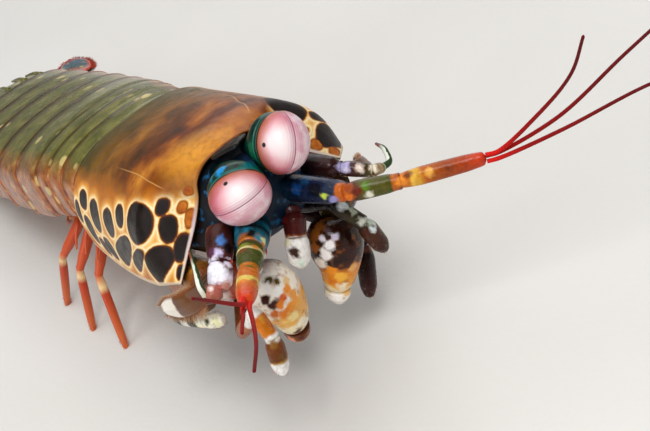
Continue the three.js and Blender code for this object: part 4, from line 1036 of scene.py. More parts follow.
# In each eye's own directions (along the band, across it, along the gaze): the normal of its middle band, the
# palest place of its cornea (partly its own pink-white, partly a painted highlight), its false pupil, and the
# angle from the gaze where the cornea ends in shell
EYE_BANDS = {"left": unit([0.07, 0.99, -0.115]), "right": unit([-0.18, 0.9, -0.4])}
EYE_PALE_GLARE = {"left": unit([0.1, 0.59, 0.8]), "right": unit([0.13, 0.63, 0.77])}
EYE_PUPILS = {"left": unit([0.061, 0.946, 0.318]), "right": unit([-0.199, 0.96, 0.194])}
EYE_EDGE = {"left": 95, "right": 103}
EYES = {
    "left": (head([4.2, 1.2, 0]), head_direction(0.189, -0.063, 0.982),
             head_direction(0.475, 0.861, -0.036)),
    "right": (head([-4.2, -1.1, 0]), head_direction(-0.399, -0.379, 0.836),
              head_direction(0.913, -0.112, 0.385)),
}
EYE_ROWS, EYE_COLUMNS = 120, 160
EYE_WAIST, EYE_WAIST_WIDTH = 0.015, 0.4


def cornea_look():
    look = Look("cornea", Roughness=0.34, Coat_Weight=0.25, Coat_Roughness=0.12, Subsurface_Weight=0.1,
                Subsurface_Radius=(0.6 * MM, 0.3 * MM, 0.3 * MM))
    # Pink-white round the palest place, rose towards the rim: the near-white middle is partly the cornea's
    # own colour and partly a painted highlight
    base = look.ramp(look.map(look.wobble("pale", 2.5, 10), 0, 100), [
        (0.0, "f9ecea"), (0.22, "f0dadb"), (0.38, "e2aeb3"), (0.52, "ce7a86"), (0.68, "b25062"),
        (1.0, "7a2e3e"),
    ])
    base = look.tint(base, "e8bcc4", "band", 0.2, -1.2, 0.0, 0.75)
    cloudy = look.times(look.map("band", 0.3, -0.3, 0.0, 0.8), look.map(look.noise(1.5), 0.42, 0.64))
    base = look.mix(cloudy, base, "faeeee")
    streaks = look.map(look.times(look.wobble("band", 1.4, 0.2), math.pi * 7), 0, 1)
    fine = look.map(look.compute("SINE", streaks), -1, 1, 0.0, 0.5)
    base = look.mix(look.times(fine, look.map("band", 0.9, 0.1)), base, "cc88a4")
    base = look.tint(base, "a4582c", look.wobble("rim", 2.5, 8), -34, -6, 0.0, 0.9)
    edge = look.ramp(look.map("rim", -8.0, 2.0), [
        (0.0, "7a4020"), (0.4, "2a1408"), (0.66, "141410"), (0.74, "3c8c84"), (0.8, "14564c"),
        (0.86, "06382a"), (1.0, "06301e"),
    ])
    base = look.tint(base, edge, "rim", -9.0, -4.0)
    lines = look.ramp(look.map(look.compute("ABSOLUTE", "band"), 0.0, 1.2), [
        (0.0, 0.9), (0.035, 0.9), (0.07, 0.0), (0.26, 0.0), (0.29, 0.5), (0.32, 0.0), (0.5, 0.0),
        (0.56, 0.25), (0.62, 0.0), (0.8, 0.0), (0.86, 0.15), (0.92, 0.0), (1.0, 0.0),
    ])
    base = look.mix(lines, base, "6a3a42")
    base = look.tint(base, "140808", "pupil", 0.24, 0.34, 1.0, 0.0)
    return look.finish(base, None, [(look.cells(0.16, 0.15), 0.006)])


def make_eyes():
    cornea = cornea_look()
    polar = np.linspace(0.02, 1, EYE_ROWS)[:, None] * EYE_RIM_ANGLE
    turn = turns(EYE_COLUMNS)
    aims = np.stack(np.broadcast_arrays(
        np.sin(polar) * np.cos(turn), np.sin(polar) * np.sin(turn), np.cos(polar)), -1)
    radii = aims * [EYE_ALONG_BAND, EYE_ACROSS_BAND, EYE_DEPTH]
    for name, (centre, gaze, band) in EYES.items():
        across, over = frames(gaze, band)
        past = aims @ EYE_BANDS[name] * EYE_ACROSS_BAND
        pale, spot = (np.arccos(np.clip(aims @ way, -1, 1)) for way in (EYE_PALE_GLARE[name], EYE_PUPILS[name]))
        waist = 1 - EYE_WAIST * np.exp(-((past / EYE_WAIST_WIDTH) ** 2))
        rings = centre + waist[..., None] * (radii @ np.stack([across, over, gaze]))
        shape = Shape()
        shape.grid(rings, rim=np.degrees(polar) - EYE_EDGE[name], pale=np.degrees(pale), band=past,
                   pupil=spot * EYE_DEPTH)
        shape.dress(f"eye_{name}", cornea, "cornea")


# Patches on the eyestalks, each a place in the head's frame, a radius and a colour: the two blue ones are
# painted highlights, the dark green one is the stalks' own colour
EYESTALK_HIGHLIGHTS_AND_PATCH = [
    (-4.4, 3.0, -1.1, 0.75, "1a88c4"), (0.8, -1.9, -0.8, 0.8, "38a4cc"), (0.6, 2.5, -0.8, 1.2, "0a5a38"),
]
EYESTALK_ROWS, EYESTALK_COLUMNS, EYESTALK_SIDES = 60, 72, 24
# The cup under the cornea: how far below its rim, and its size there
EYESTALK_CUP = ((0, 0.97), (1.1, 0.95), (2.6, 0.72))
EYESTALK_NECK_DEPTH, EYESTALK_NECK_RADIUS, EYESTALK_ROOT_RADIUS = 3.4, 1.75, 1.6


def make_stalks():
    look = Look("eyestalk_shell", Roughness=0.35, Coat_Weight=0.15, Coat_Roughness=0.15)
    base = look.ramp(look.noise(1.8, 3.0, 0.5, 0.6), [
        (0.3, "021008"), (0.46, "053020"), (0.58, "064a3c"), (0.7, "086070"), (0.8, "1480b0"),
    ])
    # Two painted highlights and one dark green patch
    base = look.patches(base, EYESTALK_HIGHLIGHTS_AND_PATCH)
    base = look.tint(base, "3f9f98", "depth", 0.06, 0.14, 0.3, 0.0)
    # Near black deeper than 3 mm below the cornea: painted shade where the stalks go in under the rostrum
    base = look.tint(base, "030c14", "depth", 3.0, 5.5, 0.0, 0.9)
    material = look.finish(base, None, [(0.5, 0.05)])
    rim_depth = EYE_DEPTH * math.cos(EYE_RIM_ANGLE) - GAP
    wide, deep = (half * math.sin(EYE_RIM_ANGLE) for half in (EYE_ALONG_BAND, EYE_ACROSS_BAND))
    backward = head_direction(0, 0, -1)
    for name, sign in SIDES:
        centre, gaze, band = EYES[name]
        root = head([2.5 * sign, -0.2, -8.6])
        neck = (centre + gaze * (rim_depth - EYESTALK_NECK_DEPTH)) * 0.65 + root * 0.35
        stations = [(centre + gaze * (rim_depth - depth), -gaze, wide * size, deep * size)
                    for depth, size in EYESTALK_CUP]
        stations += [(neck, unit(backward - gaze), EYESTALK_NECK_RADIUS, EYESTALK_NECK_RADIUS),
                     (root, backward, EYESTALK_ROOT_RADIUS, EYESTALK_ROOT_RADIUS)]
        rings = [at + oval(*frames(along, band), turns(EYESTALK_SIDES, 0.5), *half_sizes)
                 for at, along, *half_sizes in stations]
        fine = refine(rings, EYESTALK_ROWS, EYESTALK_COLUMNS)
        depth = np.linalg.norm(fine.mean(1) - stations[0][0], axis=-1)
        shape = Shape()
        shape.grid(fine, depth=depth[:, None])
        shape.dress(f"eyestalk_{name}", material, "eyestalk")


# Front limbs: the places of their joints in the head's frame (left, up, forward)
SIDEWAYS = head_direction(1, 0, 0)
AHEAD = head_direction(0, 0, 1)
ANTENNULES = {
    "left": [(2.8, -5.6, -5.4), (6.9, -8.2, 4), (12.8, -10, 8), (22, -12.2, 14)],
    "right": [(-3.2, -7.5, -5.4), (-7.2, -7.1, 1.5), (-11, -6.2, 9), (-15.9, -4.6, 19)],
}
ANTENNULE_FULLNESS = {"left": [1.85, 1.35, 1.2], "right": [2.4, 1.75, 1.4]}
WHIP_SEAT_RADIUS = 0.53
WHIPS = {
    "left": [
        [(30.6, -11.2, 20.2), (38.6, -7, 27), (45, -3, 34)],
        [(27.6, -9, 20.6), (30.4, -4, 28), (31.4, 1.2, 33)],
        [(31, -13.6, 19), (39.5, -12.2, 27), (46.5, -12, 34)],
    ],
    "right": [
        [(-17.9, -2.2, 23), (-20.7, 1.5, 27), (-23.4, 5.1, 31)],
        [(-18.5, -3.1, 25), (-19.8, -2.4, 28), (-20.8, -2.2, 30)],
        [(-18.1, -3.8, 26), (-20.6, -3.3, 32), (-23.8, -2.7, 38)],
    ],
}
WHIP_TURNS = {"left": -20, "right": 80}
ANTENNAE = {
    "left": [(7.2, -5.2, -6), (10.3, -7.7, -2), (12.9, -9.6, 0.6), (14.6, -10.4, 0.3)],
    "right": [(-7.2, -5.2, -6), (-10.5, -7.9, -2.6), (-12.9, -10.3, -1.3), (-14.9, -9.6, -1.6)],
}
ANTENNA_FULLNESS = {"left": [1.5, 1.05, 0.8], "right": [1.9, 1.7, 1.2]}
ANTENNA_WHIPS = {
    "left": [(14.4, -10.3, 0.3), (15.8, -10.4, -0.1), (16.7, -9.4, -1.5), (18.2, -10.1, -7)],
    "right": [(-14.8, -9.6, -1.6), (-14.8, -8.2, -1.5), (-13.8, -6.8, -3), (-12.2, -5.3, -6.4)],
}
SCALES = {
    "left": [(10.2, -8.6, -3.4), (15.6, -12, -7.4), (17.4, -15.2, -16)],
    "right": [(-10.6, -8.8, -3.8), (-15.4, -11.6, -7.6), (-17.8, -13.2, -15.4)],
}
RAPTORIALS = {
    "left": {
        "merus": [(7.6, -12.3, -30), (11, -14, -24), (11.6, -13.8, -12)],
        "carpus": [(11.4, -14.2, -10.6), (7.9, -13.8, -7.8)],
        "propodus": [(7, -14.4, -7.2), (4.8, -21.2, -7.6), (3.4, -24.4, -9.4)],
        "dactyl": [(3.4, -24.4, -9.4), (2.7, -27, -10.6)],
        "finger": [(3, -26, -11.2), (4, -22.8, -12.4), (5, -19.4, -12.4), (5.6, -16.6, -11.6)],
    },
    "right": {
        "merus": [(-7.6, -12.3, -30), (-11, -14, -24), (-11.4, -12.6, -10)],
        "carpus": [(-11.3, -12.2, -8.6), (-7.9, -13.2, -6.2)],
        "propodus": [(-6.9, -13.3, -5.6), (-5.2, -20.6, -6.8), (-4.9, -24.7, -8.8)],
        "dactyl": [(-4.9, -24.7, -8.8), (-5.2, -27.2, -10.1)],
        "finger": [(-5.1, -26.2, -10.9), (-5, -23.4, -12), (-5.2, -20, -11.6), (-5.4, -17.6, -11)],
    },
}
MAXILLIPEDS = {
    "maxilliped_3_left": [(3.2, -10.5, -10), (1.6, -8.9, -3.2), (0, -11.6, -2.6), (-1.2, -16.1, -4)],
    "maxilliped_3_right": [(-3.2, -10.5, -10), (-4.4, -10.6, -4.8), (-6.8, -10.9, -3), (-8, -11.4, -2.4)],
    "maxilliped_4_left": [(4.4, -10.8, -9.5), (6.6, -10.8, -2.6), (8.6, -15.6, -1.2), (9.4, -21, -1.4)],
    "maxilliped_4_right": [
        (-4.6, -11.6, -13), (-12.4, -19.4, -6.6), (-11.3, -14.8, 0.8), (-11.3, -18.8, 1.8), (-12.7, -24, 1.5),
    ],
    "maxilliped_5_left": [(4.6, -11.6, -17), (9.8, -19.4, -15), (10.8, -24, -12.6), (7.4, -30.4, -12)],
    "maxilliped_5_right": [
        (-4.6, -11.6, -19), (-10.5, -19, -20), (-16.2, -16.2, -17.6), (-15.1, -15.7, -9.2),
        (-13.3, -16.3, -6.7),
    ],
}
MAXILLIPED_FULLNESS = {4: [1.1, 1.15, 1.35], 5: [1, 1.05, 1.1, 1.3]}
OWN_FULLNESS = {"maxilliped_3_left": [1.2, 1.6, 1.65], "maxilliped_5_right": [1, 1.05, 1.15, 1.05]}
WHITE = "f2ece6"
# Colours along each part: millimetres from its root, and the colour there
LIMB_BANDS = {
    # On the left antennule the bright yellow ring about 20 mm out is a painted highlight
    "antennule_left": [
        (0, "0c2a3c"), (3, "0c1c30"), (6, "101c3c"), (9.4, "14243c"), (9.8, "c8661c"), (10.9, "b8561a"),
        (11.3, "5a2414"), (12.3, "4a2c10"), (13, "56521a"), (16.6, "4c4c14"), (16.9, "c06018"),
        (17.9, "8a4210"), (18.6, "d07820"), (19.5, "c86c1c"), (19.8, "e8b848"), (20.8, "d89a30"),
        (21.4, "b45a16"), (24, "9a4410"), (26.5, "a83c12"), (28, "c4401a"), (29.1, "c83018"),
    ],
    "antennule_right": [
        (0, "0c3044"), (1.5, "10506a"), (3, "0a2024"), (4.2, "147088"), (5.4, "08181a"), (6.6, "125a6a"),
        (7.2, "a85a18"), (9.2, "b86a1e"), (9.6, "4c4412"), (11.6, "565a18"), (11.9, "e8dc9a"),
        (12.3, "dcd08c"), (12.6, "4a5216"), (16, "3e4812"), (16.6, "d0741c"), (21.6, "cc6a18"),
        (22, "e8cc60"), (23.2, "e2c050"), (23.6, "d0701c"), (25.8, "cc5216"), (27.7, "c82a14"),
    ],
    "antenna_left": [
        (0, "1c0c14"), (4.6, "341614"), (6.5, "2c1414"), (7.4, "4a2420"), (8.9, "3c3014"), (9.7, "5c4a1c"),
        (10.8, "a88a68"), (11.2, "6a6438"), (11.9, "cfd8b0"),
    ],
    "antenna_right": [
        (0, "4a1c14"), (3, "3a1814"), (6.6, "5a2c28"), (7.6, "d8cce0"), (8.4, "efe9f2"), (8.8, "8a4a3c"),
        (11.2, "a8604c"),
    ],
    "maxilliped_3_left": [(0, "200c0c"), (7, "3a1210"), (9.9, "4a1612"), (10.2, "8a4a20"), (10.5, WHITE),
                          (15.2, "f4efe6")],
    "maxilliped_3_right": [(0, "2c1010"), (4.8, "5a2018"), (5.3, "d84a24"), (6.4, "c83c1c"), (6.7, WHITE),
                           (9.8, "e8d8cc")],
    "maxilliped_4_left": [(0, "0c0806"), (7.6, "140c08"), (8.4, "1c120a"), (11, "3a3018"), (12.2, "2a2010"),
                          (14.2, "4a2410"), (18.1, "30100a")],
    "maxilliped_4_right": [
        (0, "3a1510"), (13, "7a3a14"), (18, "b06228"), (18.8, WHITE), (22, "f8f0e4"), (22.3, "d06c12"),
        (24.9, "d87c18"), (25.2, WHITE), (26, "f6ecd8"), (26.3, "7a3c06"), (28.6, "643008"), (28.9, "a87820"),
        (29.2, WHITE), (31.1, "fbf8f2"),
    ],
    "maxilliped_5_left": [(0, "24100e"), (9.2, "2c1210"), (10, "5a3024"), (10.6, "1c0a08"), (14.6, "2c100c"),
                          (15.4, "6a3a2c"), (16, "1c0a08"), (22.1, "3c1612")],
    "maxilliped_5_right": [
        (0, "2c1210"), (9.6, "5a2a1c"), (12, "8a5a34"), (16, "d8e0b0"), (17.2, "1c3020"), (19.2, "24402c"),
        (19.6, WHITE), (21.2, "f0eadc"), (21.6, "2c2008"), (23.4, "28220c"), (23.8, "f2e8c0"),
        (28.3, "f6f0e2"),
    ],
    # The rostrum is painted near black: painted shade between the eyestalks, over its own olive-brown
    "rostrum": [(0, "2a1608"), (2, "160e08"), (4, "080a0c")],
    "raptorial_merus_left": [(0, "5c4a20"), (9, "4a3216"), (15, "24140a"), (19, "2c1a10")],
    "raptorial_carpus_left": [(0, "2a1a1c"), (1.6, "8a7e94"), (2.4, "2c1614"), (4.5, "5a4a1c")],
    "raptorial_propodus_left": [
        (0, "1c0c06"), (2.0, "341608"), (5.4, "220c06"), (6.3, "4a1e0c"), (6.8, "e08418"), (9.2, "f0a430"),
        (9.8, "f8dca0"), (11.0, "fbf0dc"),
    ],
    "raptorial_dactyl_left": [(0, "f0dcb4"), (1.0, "f6eee0"), (2.9, "faf6f0")],
    "raptorial_merus_right": [(0, "5c4a20"), (7, "7a3c0c"), (14, "9a4e0e"), (18, "c07c32"), (21.2, "6a3418")],
    "raptorial_carpus_right": [(0, "c8a090"), (1.2, "f0e4dc"), (2.4, "a8432c"), (4.3, "c87a58")],
    "raptorial_propodus_right": [
        (0, "fbf2e6"), (5.0, "f8ecd8"), (6.2, "e8a850"), (8.4, "f0b048"), (9.2, "fae6b8"), (11.2, "f8e8c4"),
        (11.8, "7a3c18"), (12.2, "5a2c10"),
    ],
    "raptorial_dactyl_right": [(0, "5a2c10"), (1.4, "8a4a24"), (2.2, "e08c64"), (2.9, "eca488")],
}
# Patches of colour, some of them painted highlights: their places in the head's frame (left, up, forward),
# radii and colours
PATCHES = {
    # On the right antenna the small pale pink patch (the ninth) is a painted highlight
    "antenna_right": [
        (-8.8, -5.5, -2.8, 0.7, "4474b4"), (-10.7, -6, -2.8, 0.63, "5a3048"),
        (-9.9, -6.3, -2.1, 0.51, "d0c4e4"), (-11.9, -7.1, -1.9, 1.14, "f0eaf8"),
        (-12, -7.9, -0.9, 1.33, "f0ecf6"), (-9.9, -7.9, -1.2, 0.51, "e8e0f2"),
        (-13.3, -9.6, -0.4, 0.76, "a8584c"), (-11.9, -9.9, -0.3, 0.63, "c48474"),
        (-13.8, -9, -0.9, 0.38, "f0d8d4"), (-9.7, -4.9, -4, 0.7, "34140f"),
        (-8.6, -6.6, -2, 0.76, "180c0a"), (-9.5, -8.3, -1.9, 0.44, "d84a20"),
    ],
    # Of the left antennule's patches, the second, blue one is a painted highlight
    "antennule_left": [
        (2.9, -5.6, -1.2, 0.76, "14407a"), (4.8, -5, -0.5, 0.76, "1c4a74"),
        (4.2, -6.4, 1.5, 1.01, "080c1c"), (5.2, -8.3, 3.2, 0.63, "9a98d0"),
        (4.6, -7.3, 2.5, 0.32, "c8d850"), (6.4, -8.6, 4.9, 0.7, "e0701c"), (7.2, -7.4, 5.1, 0.63, "9a4414"),
        (7.7, -8.1, 6.1, 0.63, "6a2410"), (8.7, -8.1, 6.6, 0.63, "5a7a20"),
        (8.5, -9.4, 6.5, 0.51, "e8e4d0"), (10.4, -9.3, 7.9, 0.51, "6a5c18"),
        (12.4, -9.8, 8.8, 0.63, "ec8e2c"), (13.5, -9.3, 9.3, 0.51, "7a3a10"),
        (15.5, -10.2, 11, 0.51, "e8a848"), (17.3, -10.7, 12.2, 0.51, "7a3410"),
    ],
    "antennule_right": [
        (-6.8, -5.1, -1.4, 0.63, "1c7c9c"), (-5.9, -5.2, 0.2, 0.51, "2a90b0"),
        (-6, -5.7, 1, 0.57, "061210"), (-5.6, -6.6, 1.7, 0.51, "2c8ca4"), (-5.3, -7.3, 1.7, 0.44, "d8e0a8"),
        (-8.4, -5, 4, 0.51, "8a9428"), (-7.6, -5.7, 5.3, 0.51, "d8852c"), (-9.4, -4.9, 5.7, 0.57, "7a4414"),
        (-10.9, -5, 10.5, 0.51, "5a661c"), (-13.8, -3.9, 15.3, 0.63, "ec8a24"),
        (-12.7, -4.8, 15.3, 0.51, "b85a14"), (-15, -4.3, 19, 0.51, "d84a18"),
    ],
    # The pale yellow patch, the second, is a painted highlight
    "maxilliped_3_left": [
        (-1.6, -12.9, -2, 0.82, "3a2010"), (-1.3, -11.4, -3.1, 0.63, "f4ecc4"),
        (-0.2, -9, -3.3, 0.76, "6a1410"), (-1.7, -14.8, -2.2, 0.51, "d8e4d4"),
    ],
    # The near-white patches, the first and the fifth, are painted highlights
    "maxilliped_4_left": [
        (7.5, -11.6, -1.2, 0.82, "e8eeee"), (8, -13, -0.9, 0.51, "b8bca8"),
        (8.3, -14.8, -0.3, 0.7, "dcdccc"), (9.3, -15.8, -0.5, 0.76, "cfd8c8"),
        (8.9, -16.6, 0, 0.44, "e4eeee"), (7.9, -16.5, -0.3, 0.51, "4a1c0c"),
    ],
    # The white and pale lilac patches on this hand (the fifth to the seventh and the ninth) are painted
    # highlights
    "raptorial_propodus_left": [
        (3.3, -14.8, -6.3, 0.89, "8a4c18"), (2.5, -16.2, -6.5, 0.82, "9a5418"),
        (4.7, -14, -6.2, 0.76, "7a4416"), (6.4, -14.3, -6, 0.63, "4a2c10"),
        (3.8, -16.5, -4.5, 0.89, "f8f2f0"), (3.8, -15.4, -5, 0.51, "e4dce4"),
        (5.1, -15.8, -4.1, 0.51, "d0c6d8"), (5, -14.9, -4.7, 0.44, "5a4448"),
        (2.9, -17.3, -5, 0.89, "f4ece8"), (2, -18.7, -6.5, 1.01, "f8efe0"),
        (2.5, -20.3, -5.7, 0.89, "f0901a"), (3.1, -21.6, -5.5, 0.89, "f8b43c"),
        (5.2, -21.5, -4.8, 0.76, "e8a860"), (2.1, -21.8, -6.7, 0.7, "e07a14"),
        (2.9, -23.5, -6.5, 0.76, "fbe8c4"), (6.1, -18.9, -3.9, 1.14, "300e08"),
        (6.6, -16.7, -3.9, 1.01, "200c06"), (7.4, -21.3, -5.5, 0.63, "6a2c10"),
    ],
    "raptorial_dactyl_left": [
        (2.1, -24.9, -8.1, 0.89, "fdf8f2"), (3.6, -25.2, -8.1, 0.51, "f6c070"),
    ],
    "raptorial_propodus_right": [
        (-6.1, -13.3, -4.3, 0.76, "f8f2ec"), (-6.3, -14.3, -3.1, 0.57, "4a3a14"),
        (-5.5, -15.1, -2.8, 0.57, "5a4418"), (-4.3, -15.9, -3.2, 0.63, "f0c890"),
        (-4.5, -17.8, -3, 0.7, "e89a40"), (-7.1, -15.1, -2.8, 0.76, "f8f2ea"),
        (-6, -16.1, -2.6, 0.82, "fffaf4"), (-8, -16, -2.9, 0.76, "341208"),
        (-7.5, -17.3, -2.8, 0.89, "3c160c"), (-5.9, -17.4, -2.7, 0.57, "d4501c"),
        (-5.6, -19.2, -3.1, 0.76, "ea9028"), (-7, -19.5, -3.3, 0.82, "e07c18"),
        (-5.8, -21.2, -4, 0.89, "fadc94"), (-7, -21.4, -4.6, 0.63, "f4c060"),
        (-5, -23, -5.2, 0.76, "fcf0d4"), (-3.9, -23.9, -6.2, 0.51, "fdfaf4"),
        (-5.9, -24.5, -6.5, 0.57, "5c2c12"), (-4.9, -16.9, -2.8, 0.63, "f0902c"),
        (-6.8, -18.1, -2.8, 0.63, "e8801c"), (-4.5, -19.1, -3.3, 0.63, "f09a30"),
        (-7.8, -18.8, -3.4, 0.63, "c8661c"),
    ],
    "raptorial_dactyl_right": [
        (-6.6, -26.1, -8.5, 0.63, "e8946c"), (-5.7, -26, -7.4, 0.63, "5a2410"),
    ],
    "maxilliped_4_right": [
        (-11.1, -15.4, 2.1, 0.44, "e8a03c"), (-10.5, -17.2, 2.1, 0.44, "b85410"),
        (-12, -19.1, 2.7, 0.44, "8a5a18"), (-12, -21, 3, 0.44, "6a4a10"),
    ],
    "maxilliped_5_right": [
        (-15.6, -15.2, -9.2, 0.63, "eef2ea"), (-15.2, -15.3, -7.8, 0.44, "2c3014"),
        (-14.4, -15.7, -6.8, 0.76, "f2eebc"),
    ],
    "raptorial_merus_right": [
        (-12.4, -10, -12.2, 0.63, "d8923a"),
    ],
    "raptorial_carpus_right": [
        (-8.2, -10.9, -6, 0.63, "c8401c"),
    ],
    # The small lilac-white patch and the last, cream-white one on the left antenna are painted highlights
    "antenna_left": [
        (9, -5.5, -2.8, 0.63, "3a1814"), (10.2, -7.3, -1, 0.89, "b4aad6"),
        (10.2, -7.6, -0.8, 0.44, "e4dcf2"), (11.5, -8.2, 0.3, 0.63, "f4dfd0"),
        (13.1, -9.3, 1, 0.57, "f0e4cc"),
    ],
}


def reach_of(path):
    return float(np.linalg.norm(np.diff(path, axis=0), axis=1).sum())


WHIP_RING = 0.42


def make_feeler(node, joints, fullness, side, tip):
    path = head(joints)
    shape = Shape()
    limb(shape, path, fullness, side, tip, 1.0, 40, 34)
    shape.dress(node, shell_look(node, reach_of(path)), "feeler")


def make_feelers():
    look = Look("feeler_whip", Roughness=0.6)
    base = look.ramp(look.map(look.add("reach", look.noise(1.5)), 0, 30), [
        (0.0, "d8140a"), (0.2, "980806"), (0.6, "680608"), (1.0, "5c080e"),
    ])
    rings = look.compute("SINE", look.times("reach", 2 * math.pi / WHIP_RING))
    whips = look.finish(base, None, [(look.map(rings, -1, 1), 0.05)])
    look = Look("antenna_whip", Roughness=0.4)
    base = look.ramp(look.map("reach", 0, 9), [
        (0.0, "c8c0a8"), (0.2, "e6e8dc"), (0.5, "d4dcc8"), (0.7, "8a3a24"), (1.0, "7a1c12"),
    ])
    base = look.tint(base, "2e4424", look.add("turn", look.noise(0.8)), 0.5, 0.7)
    leaf = look.finish(base, None, [(0.5, 0.05)])
    for name, _ in SIDES:
        make_feeler(f"antennule_{name}", ANTENNULES[name], ANTENNULE_FULLNESS[name], SIDEWAYS, 0.85)
        path = head(ANTENNULES[name])
        along = unit(path[-1] - path[-2])
        for k, places in enumerate(WHIPS[name]):
            angle = math.radians(WHIP_TURNS[name] + 120 * k)
            seat = path[-1] + WHIP_SEAT_RADIUS * oval(*frames(along, SIDEWAYS), angle)
            shape = Shape()
            whip(shape, np.vstack([seat, seat + 1.6 * along, head(places)]), 0.3, 0.2, LEFT, 12, 90)
            shape.dress(f"antennule_whip_{k + 1}_{name}", whips, "feeler_whip")
        make_feeler(f"antenna_{name}", ANTENNAE[name], ANTENNA_FULLNESS[name], AHEAD, 0.55)
        shape = Shape()
        whip(shape, head(ANTENNA_WHIPS[name]), 0.5, 0.2, LEFT, 12, 90)
        shape.build(f"antenna_{name}_whip", leaf, [f"antenna_{name}"], "feeler_whip")


SCALE_HALF_WIDTHS = [0.8, 1.3, 1.7, 1.7, 0.7]
SCALE_BRISTLES = 260


def make_scales(fringe):
    generator = np.random.default_rng(3)
    look = Look("antennal_scale_shell", Roughness=0.35, Coat_Weight=0.45, Coat_Roughness=0.15)
    base = look.ramp(look.map(look.wobble("reach", 1.6, 0.8), 0, 16), [
        (0.0, "3c2416"), (0.2, "4a2810"), (0.5, "6a3c14"), (0.62, "5a3012"), (0.66, "eadfd0"),
        (0.86, "f0e8dc"), (0.92, "7c5426"), (1.0, "8a3a1e"),
    ])
    base = look.tint(base, "8a4a1e", "edge", 0.8, 0.97, 0.0, 0.7)
    material = look.finish(base, None, [(0.5, 0.05)])
    for name, sign in SIDES:
        shape = Shape()
        parts = blade(shape, head(SCALES[name]), SCALE_HALF_WIDTHS, 0.9, SIDEWAYS, 60, 18, 0.3)
        shape.dress(f"antennal_scale_{name}", material, "antennal_scale")
        for rim in (1, -1):
            pick = generator.uniform(0.35, 1.0, SCALE_BRISTLES)
            roots, out, ahead = rim_places(rim, pick, 0.94, *parts)
            heading = out * np.cos(pick * 1.3)[:, None] + ahead * (0.2 + 1.2 * pick[:, None])
            fringe.add(roots, heading, 1.5, 0.045, (0.9 * pick + 0.02, 0.7 + 0.05 * rim + 0.12 * sign), 0.12)


# Half-widths of a claw's hand and of the heel that strikes, by share of their length
HAND = [
    (0, 1.8), (0.04, 2.9), (0.2, 3.9), (0.36, 4.0), (0.5, 3.7), (0.68, 2.95), (0.88, 2.4), (0.97, 1.9),
    (1, 0.9),
]
HEEL = [(0, 1.3), (0.08, 1.9), (0.35, 1.9), (0.7, 1.4), (0.92, 0.8), (1, 0.2)]
HAND_DEPTH = 0.85
CLAW_STEPS, CLAW_SIDES = 70, 56


def make_claws():
    share = np.linspace(0, 1, CLAW_STEPS)
    for name, parts in RAPTORIALS.items():
        for part in ("merus", "carpus", "propodus", "dactyl"):
            path = head(parts[part])
            shape = Shape()
            if part == "merus":
                limb(shape, path, [2.4, 3.3], SIDEWAYS, 2.4, 1.0, 48, 34)
            elif part == "carpus":
                limb(shape, path, [2.6], AHEAD, 2.0, 1.0, 48, 34)
            elif part == "propodus":
                rod(shape, path, profile(HAND, share), SIDEWAYS, CLAW_SIDES, HAND_DEPTH, CLAW_CORNERS)
            else:
                rod(shape, path, profile(HEEL, share), SIDEWAYS, CLAW_SIDES, 1.0, CLAW_CORNERS)
                whip(shape, head(parts["finger"]), 1.05, 0.3, SIDEWAYS, 20, 60, 1.0)
            node = f"raptorial_{part}_{name}"
            shape.dress(node, claw_look(node, reach_of(path)), "striking_claw")


# Half-widths of a mouth limb's last article, where its bristles root
MOUTH_ARTICLE = [(0, 1.0), (0.3, 1.3), (0.74, 1.2), (0.93, 0.7), (1.0, 0.3)]
MOUTH_BRISTLES = 60


def make_maxillipeds(fringe):
    generator = np.random.default_rng(17)
    for node, places in MAXILLIPEDS.items():
        path = head(places)
        shape = Shape()
        limb(shape, path, OWN_FULLNESS.get(node, MAXILLIPED_FULLNESS[len(places)]), SIDEWAYS, 0.6)
        shape.dress(node, shell_look(node, reach_of(path)), "mouth_limb")
        start, end = path[-2:]
        pick, turn, out = skin_places(generator, start, end, 0.35, 0.98, MOUTH_BRISTLES, SIDEWAYS)
        share = pick[:, None]
        roots = start + (end - start) * share + out * (profile(MOUTH_ARTICLE, share) * 0.9)
        heading = out * 0.5 + unit(end - start) * (0.5 + 0.8 * share)
        fringe.add(roots, heading, 0.55, 0.025, (0.9 * pick + 0.02, turn / 7), 0.2)


# Walking legs: the knee and the foot of each on the left, by the thorax ring that it hangs from
LEGS = {1: [(16.2, 48.5, 12), (19.4, 45.5, -0.4)], 2: [(17, 55.5, 11), (20.6, 56, -0.4)],
        3: [(16.8, 64, 10), (20, 68, -0.4)]}
LEG_FULLNESS = [1.15, 0.95, 0.75]
LEG_BRISTLES = 90


